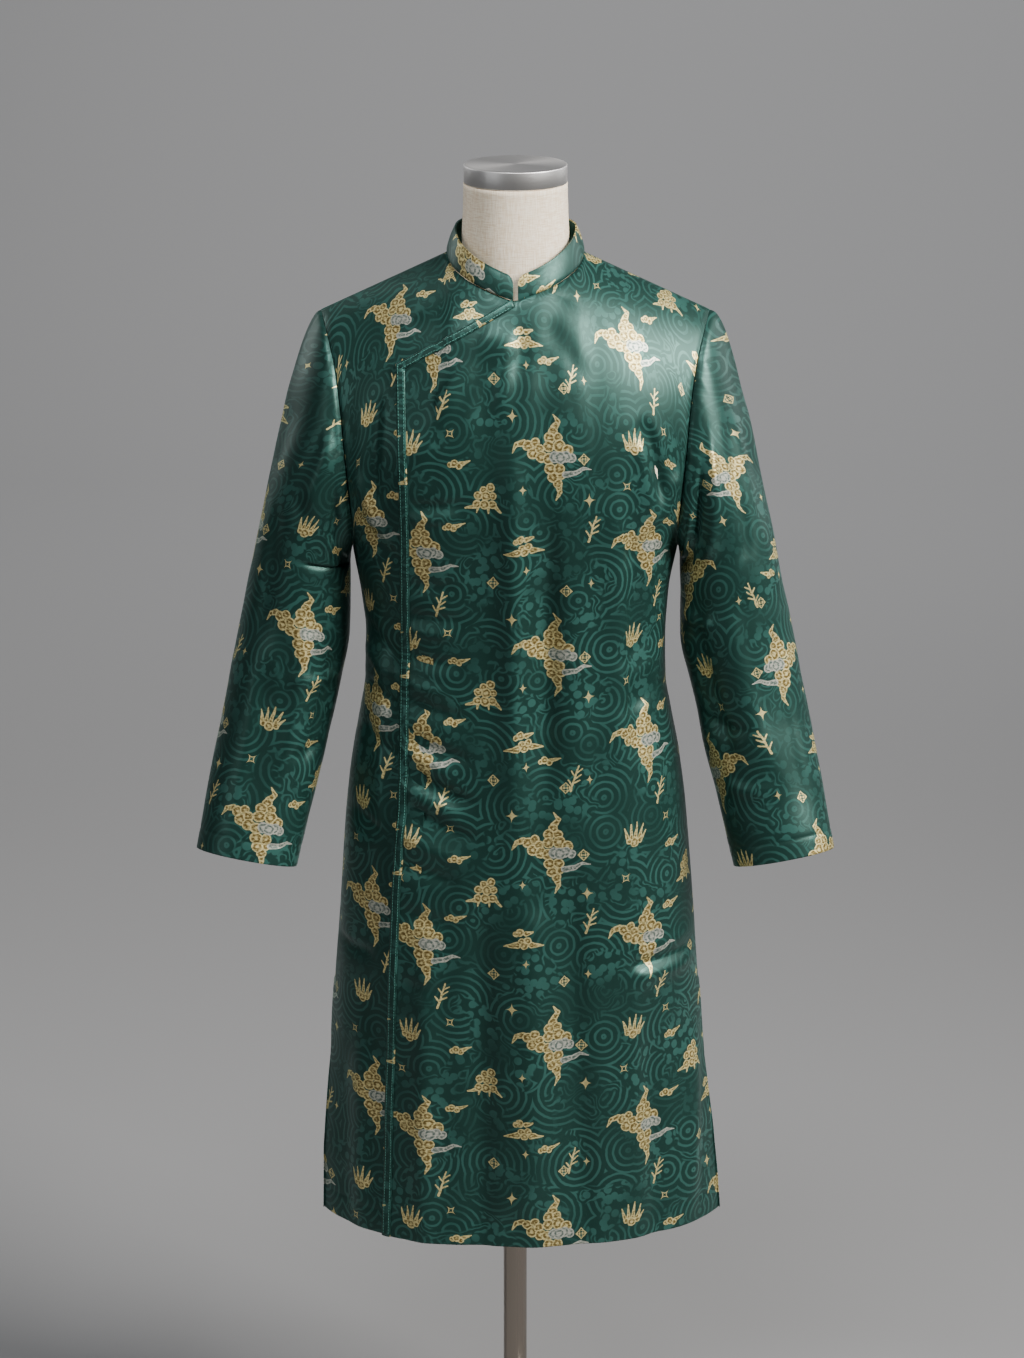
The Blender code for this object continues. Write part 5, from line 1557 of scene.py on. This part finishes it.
def build_sleeve(name, side, creases, material):
    """Long set-in sleeve, open at the armhole and at the cuff."""
    angles = np.linspace(0.0, 360.0, 113)[:-1]
    shares = np.concatenate(
        (
            (0.0, 0.008, 0.018, 0.032),
            np.linspace(0.05, 1.0, 56),
            1.0 + np.linspace(0.0, 0.92, 76)[1:],
            1.0 + np.array((0.93, 0.9345, 0.939, 0.95, 0.965, 0.98, 0.99, 0.996, 1.0)),
        )
    )
    share, angle = np.meshgrid(shares, angles, indexing="ij")
    points = sleeve_surface(side, share, angle)
    ahead = np.roll(points, -1, axis=1) - np.roll(points, 1, axis=1)
    normals = unit(np.cross(ahead, np.gradient(points, axis=0)))
    centre = points.mean(axis=1, keepdims=True)
    if float(np.sum(normals * (points - centre))) < 0.0:
        normals = -normals
    step = np.linalg.norm(np.diff(points, axis=0), axis=-1)
    down = np.concatenate((np.zeros((1, len(angles))), np.cumsum(step, axis=0)))
    ring = np.linalg.norm(np.roll(points, -1, axis=1) - points, axis=-1).sum(axis=1)
    around = angle / 360.0 * SLEEVE_ROUND
    length = np.where(share < 1.0, share * SLEEVE_RUN, SLEEVE_RUN + (share - 1.0) * SLEEVE_RUN)
    lift = np.zeros(share.shape)
    for turn in (-SLEEVE_ROUND, 0.0, SLEEVE_ROUND):
        lift += crease_rise(creases, around + turn, length)
    lift += ripple(points[..., 1] + points[..., 0] * 0.6, points[..., 2], 11 if side > 0 else 12, 0.0012)
    fade = smooth(share / 0.10) * smooth((2.0 - share) / 0.10)
    under = 1.0 - 0.6 * smooth((np.abs(angle - 180.0) < 60.0) * (1.0 - share) * 4.0)
    lift = lift * fade * under
    gather = 0.0007 * np.sin(angle * math.pi / 180.0 * 46.0 + 1.2 * np.sin(angle * 0.11))
    gather = gather * np.exp(-((down - 0.010) / 0.010) ** 2)
    gather = gather * (1.0 - smooth((np.abs(angle - 180.0) < 80.0) * 1.0))
    press = -0.0005 * np.exp(-(((share - CUFF_SEAM) * SLEEVE_RUN / 0.0017) ** 2))
    dip = SEAM_DIP * 1.2 * np.exp(-((down / (SEAM_REACH * 1.1)) ** 2))
    points = points + normals * (lift + gather + press - dip)[..., None]
    height = down[-1:] - down
    flat = np.stack((around * (ring[:, None] / SLEEVE_ROUND) - ring[:, None] * 0.25, height), axis=-1)
    item = shell(name, points, flat, True, normals, CLOTH_THICK, [material, inside_cloth])
    return item, points


def collar_base(degrees):
    """Neckline seam, 0 at the front, 90 at the wearer's left, 180 at the back."""
    a = np.where(degrees > 180.0, 360.0 - degrees, degrees)
    side = np.where(degrees > 180.0, -1.0, 1.0)
    front = top_seam(NECK_SHARE * np.minimum(a, 90.0) / 90.0, 1, True)
    back = top_seam(NECK_SHARE * (180.0 - np.maximum(a, 90.0)) / 90.0, 1, False)
    p = np.where((a <= 90.0)[..., None], front, back)
    p[..., 0] = p[..., 0] * side
    return p


def build_collar():
    """Stand collar with an open front notch and rounded corners."""
    start = math.degrees(math.asin(COLLAR_NOTCH / NECK_SIDE[0]))
    near = start + np.array((0.0, 0.25, 0.6, 1.1, 1.8, 2.6, 3.6, 4.8, 6.0, 7.5, 9.0))
    degrees = np.concatenate((near, np.linspace(start + 10.5, 349.5 - start, 190), (360.0 - near)[::-1]))
    levels = (0.0, 0.03, 0.08, 0.15, 0.24, 0.34, 0.44, 0.54, 0.64, 0.74, 0.83, 0.90, 0.95, 0.98, 1.0)
    levels = np.array(levels)
    a = np.where(degrees > 180.0, 360.0 - degrees, degrees)
    side = np.where(degrees > 180.0, -1.0, 1.0)
    rise = column(COLLAR, a, 1)
    lean = column(COLLAR, a, 2)
    deep = column(COLLAR, a, 3)
    base = collar_base(degrees)
    run = np.concatenate(([0.0], np.cumsum(np.linalg.norm(np.diff(base, axis=0), axis=-1))))
    end = np.minimum(run, run[-1] - run)
    inside = np.clip(COLLAR_CORNER - end, 0.0, COLLAR_CORNER)
    drop = (COLLAR_CORNER - np.sqrt(np.maximum(COLLAR_CORNER**2 - inside**2, 0.0))) / 0.0235
    level = levels[:, None] * (1.0 - drop[None, :])
    out = np.stack((side * np.sin(np.radians(a)), -np.cos(np.radians(a)), np.zeros(a.shape)), axis=-1)
    move = np.stack((-side * lean, deep, rise), axis=-1)
    low = base + np.array((0.0, -0.0006, 0.0007)) - out * 0.0004
    high = base + np.array((0.0, -0.0006, 0.0022)) + move
    points = low[None] + (high - low)[None] * level[..., None]
    bulge = 0.0012 * np.sin(np.pi * level) - 0.0008 * np.exp(-((level / 0.05) ** 2))
    wave = 0.0005 * np.sin(np.radians(degrees) * 5.0 + 0.6)[None, :] * level
    press = -0.0003 * np.exp(-(((level - 0.93) / 0.025) ** 2))
    points = points + out[None] * (bulge + wave + press)[..., None]
    flat = np.stack((np.broadcast_to(run - run[-1] * 0.5, level.shape), level * 0.027), axis=-1)
    outward = np.broadcast_to(out, points.shape)
    cloths = [collar_cloth, inside_cloth]
    item = shell("stand_collar", points, flat, False, outward, COLLAR_THICK, cloths)
    return item, points


front_cloth = cloth_material("front_brocade", FRONT_SHIFT)
under_cloth = cloth_material("under_front_brocade", UNDER_SHIFT)
back_cloth = cloth_material("back_brocade", BACK_SHIFT)
strip_cloth = cloth_material("strip_brocade", (0.31, 0.07))
collar_cloth = cloth_material("collar_brocade", (0.345, 0.218))
right_cloth = cloth_material("right_sleeve_brocade", (-0.015, -0.041))
left_cloth = cloth_material("left_sleeve_brocade", (0.193, -0.112))
stitch_thread = plain_material("stitch_thread", (0.10, 0.30, 0.25), 0.5)

made = {}
made["front"], front_points = build_front()
made["under_front"], under_points = build_under_front()
made["back"], back_points = build_back()
made["flap_strip"] = build_strip()
stitches = build_stitches()
made["sleeve_right"], right_points = build_sleeve(
    "sleeve_right_cloth", -1.0, SLEEVE_RIGHT_CREASES, right_cloth
)
made["sleeve_left"], left_points = build_sleeve(
    "sleeve_left_cloth", 1.0, SLEEVE_LEFT_CREASES, left_cloth
)
made["collar"], collar_points = build_collar()

# ---------------------------------------------------------------- form and stand


def plain_mesh(name, verts, faces, material, soft=True):
    """Mesh object from lists."""
    mesh = bpy.data.meshes.new(name)
    mesh.from_pydata([tuple(float(c) for c in v) for v in verts], [], faces)
    mesh.polygons.foreach_set("use_smooth", np.full(len(mesh.polygons), soft))
    mesh.materials.append(material)
    mesh.validate()
    item = bpy.data.objects.new(name, mesh)
    bpy.context.scene.collection.objects.link(item)
    return item


def form_points(net, shares, ups):
    """Rows of points of the form, inside the cloth."""
    up, share = np.meshgrid(ups, shares, indexing="ij")
    share = share * (1.0 - 0.06 * smooth((up - 1.0) / 0.12) * smooth((np.abs(share) - 0.4) / 0.4))
    p = net.point(share, up)
    p = p - net.normal(share, up) * column(FORM_ROOM, p[..., 2], 1)[..., None]
    limit = column(FORM_SIDE, p[..., 2], 1)
    p[..., 0] = np.clip(p[..., 0], -limit, limit)
    return p


def build_form():
    """Limbless torso with a neck, as closed rings from the bottom to the neck top."""
    start = (FORM_BOTTOM - HEM) / (UNDERARM - HEM)
    ups = np.concatenate((np.linspace(start, 1.0, 40), np.linspace(1.0, 2.0, 41)[1:]))
    half = np.concatenate((np.linspace(0.0, NECK_SHARE, 17), np.linspace(NECK_SHARE, 1.0, 25)[1:]))
    shares = np.concatenate((-half[::-1][:-1], half))
    front = form_points(front_net, shares, ups)
    back = form_points(back_net, shares, ups)
    low = ups <= 1.0
    for col in (0, -1):
        mid = (front[low, col] + back[low, col]) * 0.5
        front[low, col] = mid
        back[low, col] = mid
    wide = np.abs(shares) >= NECK_SHARE - 1e-6
    mid = (front[-1, wide] + back[-1, wide]) * 0.5
    mid[:, 2] = np.minimum(front[-1, wide, 2], back[-1, wide, 2])
    front[-1, wide] = mid
    back[-1, wide] = mid
    front[0, :, 2] = FORM_BOTTOM
    back[0, :, 2] = FORM_BOTTOM
    verts = []
    index = {}
    faces = []

    def put(point):
        key = tuple(int(round(float(c) * 50000)) for c in point)
        if key not in index:
            index[key] = len(verts)
            verts.append(point)
        return index[key]

    def face(*points):
        ring = []
        for point in points:
            k = put(point)
            if k not in ring:
                ring.append(k)
        if len(ring) > 2:
            faces.append(tuple(ring))

    for j in range(len(ups) - 1):
        for i in range(len(shares) - 1):
            face(front[j, i], front[j, i + 1], front[j + 1, i + 1], front[j + 1, i])
            face(back[j, i + 1], back[j, i], back[j + 1, i], back[j + 1, i + 1])
    base = int(np.sum(low)) - 1
    across = 10
    for side, col in ((-1.0, 0), (1.0, -1)):
        count = len(ups) - base
        t = np.linspace(0.0, 1.0, across + 1)[None, :, None]
        plate = front[base:, col][:, None] * (1 - t) + back[base:, col][:, None] * t
        v = np.linspace(0.0, 1.0, count)[:, None]
        plate[..., 0] += side * 0.004 * np.sin(np.pi * t[..., 0]) * np.sin(np.pi * v)
        for j in range(count - 1):
            for k in range(across):
                ring = (plate[j, k], plate[j, k + 1], plate[j + 1, k + 1], plate[j + 1, k])
                face(*(ring if side > 0 else ring[::-1]))
    neck = np.where(np.abs(shares) <= NECK_SHARE + 1e-6)[0]
    loop = np.concatenate((front[-1, neck], back[-1, neck[1:-1]][::-1]))
    a = np.arctan2(loop[:, 0] / NECK_SIDE[0], -(loop[:, 1] + 0.004) / 0.074)
    keys = [loop]
    for front_height, back_height, half_width, half_depth, middle in NECK_RINGS:
        z = front_height + (back_height - front_height) * (1 - np.cos(a)) * 0.5
        keys.append(np.stack((half_width * np.sin(a), middle - half_depth * np.cos(a), z), axis=-1))
    keys = np.array(keys)
    slope = np.gradient(keys, axis=0)
    rings = [keys[0]]
    for r in range(len(keys) - 1):
        for t in np.linspace(0.0, 1.0, 7)[1:]:
            rings.append(hermite(keys[r], keys[r + 1], slope[r], slope[r + 1], t))
    for r in range(len(rings) - 1):
        for k in range(len(loop)):
            n = (k + 1) % len(loop)
            face(rings[r][k], rings[r][n], rings[r + 1][n], rings[r + 1][k])
    faces.append(tuple(put(p) for p in rings[-1]))
    bottom = list(front[0]) + list(back[0, -2:0:-1])
    faces.append(tuple(put(p) for p in reversed(bottom)))
    return plain_mesh("linen_form", verts, faces, linen)


def turned(name, profile, count, material):
    """Solid turned from a profile of radius and height, closed at both ends."""
    verts = []
    for radius, height in profile:
        for k in range(count):
            a = 2.0 * math.pi * k / count
            verts.append((radius * math.cos(a), radius * math.sin(a), height))
    faces = []
    for j in range(len(profile) - 1):
        for k in range(count):
            n = (k + 1) % count
            faces.append((j * count + k, j * count + n, (j + 1) * count + n, (j + 1) * count + k))
    faces.append(tuple(reversed(range(count))))
    last = (len(profile) - 1) * count
    faces.append(tuple(range(last, last + count)))
    item = plain_mesh(name, verts, faces, material)
    item.data.polygons[len(faces) - 1].use_smooth = False
    item.data.polygons[len(faces) - 2].use_smooth = False
    return item


def rounded(radius, low, high, bevel, steps=4):
    """Profile of a plate with rounded rims."""
    rows = []
    for k in range(steps + 1):
        a = 0.5 * math.pi * k / steps
        rows.append((radius - bevel + bevel * math.sin(a), low + bevel - bevel * math.cos(a)))
    for k in range(steps + 1):
        a = 0.5 * math.pi * k / steps
        rows.append((radius - bevel + bevel * math.cos(a), high - bevel + bevel * math.sin(a)))
    return rows


made["dress_form"] = build_form()
cap_radius = (CAP_HIGH.x - CAP_LOW.x) * 0.5
cap_profile = rounded(cap_radius, CAP_LOW.z, CAP_HIGH.z, 0.0014)
cap_profile += [(cap_radius * 0.90, CAP_HIGH.z), (cap_radius * 0.5, CAP_HIGH.z)]
made["neck_cap"] = turned("steel_neck_cap", cap_profile, 160, cap_steel)
pole_radius = (POLE_HIGH.x - POLE_LOW.x) * 0.5
made["pole"] = turned("steel_pole", rounded(pole_radius, POLE_LOW.z, POLE_HIGH.z, 0.0008, 2), 96, pole_steel)
base_radius = (BASE_HIGH.x - BASE_LOW.x) * 0.5
base_profile = rounded(base_radius, BASE_LOW.z, BASE_HIGH.z, 0.003)
made["base_plate"] = turned("steel_base", base_profile, 200, base_steel)

for node, item in made.items():
    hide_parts(node)
    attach(item, "root")
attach(stitches, "root")

# ---------------------------------------------------------------- sheet areas


def declare(item, points, closed, width, length):
    """Prints the area of a panel's surface beside the area of a width by a length."""
    area = sheet_area(points, closed)
    print(item.name, "area", round(area, 4), "of", round(width * length, 4))


declare(made["front"], front_points, False, 0.50, 1.20)
declare(made["under_front"], under_points, False, 0.34, 1.20)
declare(made["back"], back_points, False, 0.56, 1.20)
declare(made["sleeve_right"], right_points, True, 0.48, 0.70)
declare(made["sleeve_left"], left_points, True, 0.48, 0.70)
declare(made["collar"], collar_points, False, 0.44, 0.040)

# ---------------------------------------------------------------- studio


FLOOR_FRONT = -9.0
FLOOR_BACK = 5.0
FLOOR_HALF_WIDTH = 11.0
SWEEP = 3.0
BACKDROP_TOP = 9.0


def build_studio():
    """Pale floor that curves up into a backdrop."""
    profile = [(FLOOR_FRONT, 0.0), (FLOOR_BACK, 0.0)]
    for k in range(1, 25):
        a = 0.5 * math.pi * k / 24
        profile.append((FLOOR_BACK + SWEEP * math.sin(a), SWEEP - SWEEP * math.cos(a)))
    profile.append((FLOOR_BACK + SWEEP, BACKDROP_TOP))
    verts = []
    for y, z in profile:
        verts += [(-FLOOR_HALF_WIDTH, y, z), (FLOOR_HALF_WIDTH, y, z)]
    faces = [(2 * k, 2 * k + 1, 2 * k + 3, 2 * k + 2) for k in range(len(profile) - 1)]
    material, _, shader = new_material("studio_paper")
    shader.inputs["Base Color"].default_value = (0.29, 0.29, 0.295, 1.0)
    shader.inputs["Roughness"].default_value = 0.9
    return plain_mesh("studio_floor", verts, faces, material)


studio = build_studio()


def area_light(name, place, aim, size, power, color, spread):
    """Soft box pointed at a place."""
    data = bpy.data.lights.new(name, "AREA")
    data.shape = "RECTANGLE"
    data.size = size[0]
    data.size_y = size[1]
    data.energy = power
    data.color = color
    data.spread = math.radians(spread)
    item = bpy.data.objects.new(name, data)
    bpy.context.scene.collection.objects.link(item)
    item.location = place
    way = np.array(aim) - np.array(place)
    item.rotation_mode = "QUATERNION"
    item.rotation_quaternion = Vector(way).to_track_quat("-Z", "Y")
    return item


# Soft boxes: place, aim, size, power, color, spread in degrees
LIGHTS = {
    "key": ((3.4, -2.0, 3.6), (0.0, 0.0, 1.50), (2.0, 2.2), 115.0, (1.0, 0.975, 0.94), 84.0),
    "top_front": ((-0.3, -2.0, 4.6), (0.0, 0.0, 1.45), (1.8, 0.8), 22.0, (0.98, 0.99, 1.0), 90.0),
    "fill": ((-3.4, -2.8, 1.9), (0.0, 0.0, 1.3), (1.0, 2.0), 6.0, (0.97, 0.985, 1.0), 110.0),
    "rim_left": ((-2.4, 1.6, 2.4), (0.0, 0.0, 1.3), (0.7, 2.0), 10.0, (1.0, 1.0, 1.0), 120.0),
    "rim_right": ((2.6, 1.4, 2.2), (0.0, 0.0, 1.3), (0.7, 2.0), 8.0, (1.0, 1.0, 1.0), 120.0),
    "backdrop": ((0.9, 4.0, 4.6), (0.7, 7.4, 1.8), (4.0, 1.0), 250.0, (1.0, 1.0, 1.0), 180.0),
}
for label, row in LIGHTS.items():
    area_light(label, *row)

world = bpy.data.worlds.new("studio_world")
bpy.context.scene.world = world
world.use_nodes = True
sky = world.node_tree.nodes["Background"]
sky.inputs["Color"].default_value = (0.62, 0.63, 0.65, 1.0)
sky.inputs["Strength"].default_value = 0.06

CAMERA_PLACE = (-0.0039, -4.635, 2.435)
CAMERA_LOOKS_DOWN = 16.86
camera_data = bpy.data.cameras.new("camera")
camera_data.sensor_fit = "VERTICAL"
camera_data.sensor_height = 36.0
camera_data.lens = 110.97
camera_data.clip_end = 60.0
camera = bpy.data.objects.new("camera", camera_data)
bpy.context.scene.collection.objects.link(camera)
camera.location = CAMERA_PLACE
camera.rotation_euler = (math.radians(90.0 - CAMERA_LOOKS_DOWN), 0.0, 0.0)
bpy.context.scene.camera = camera
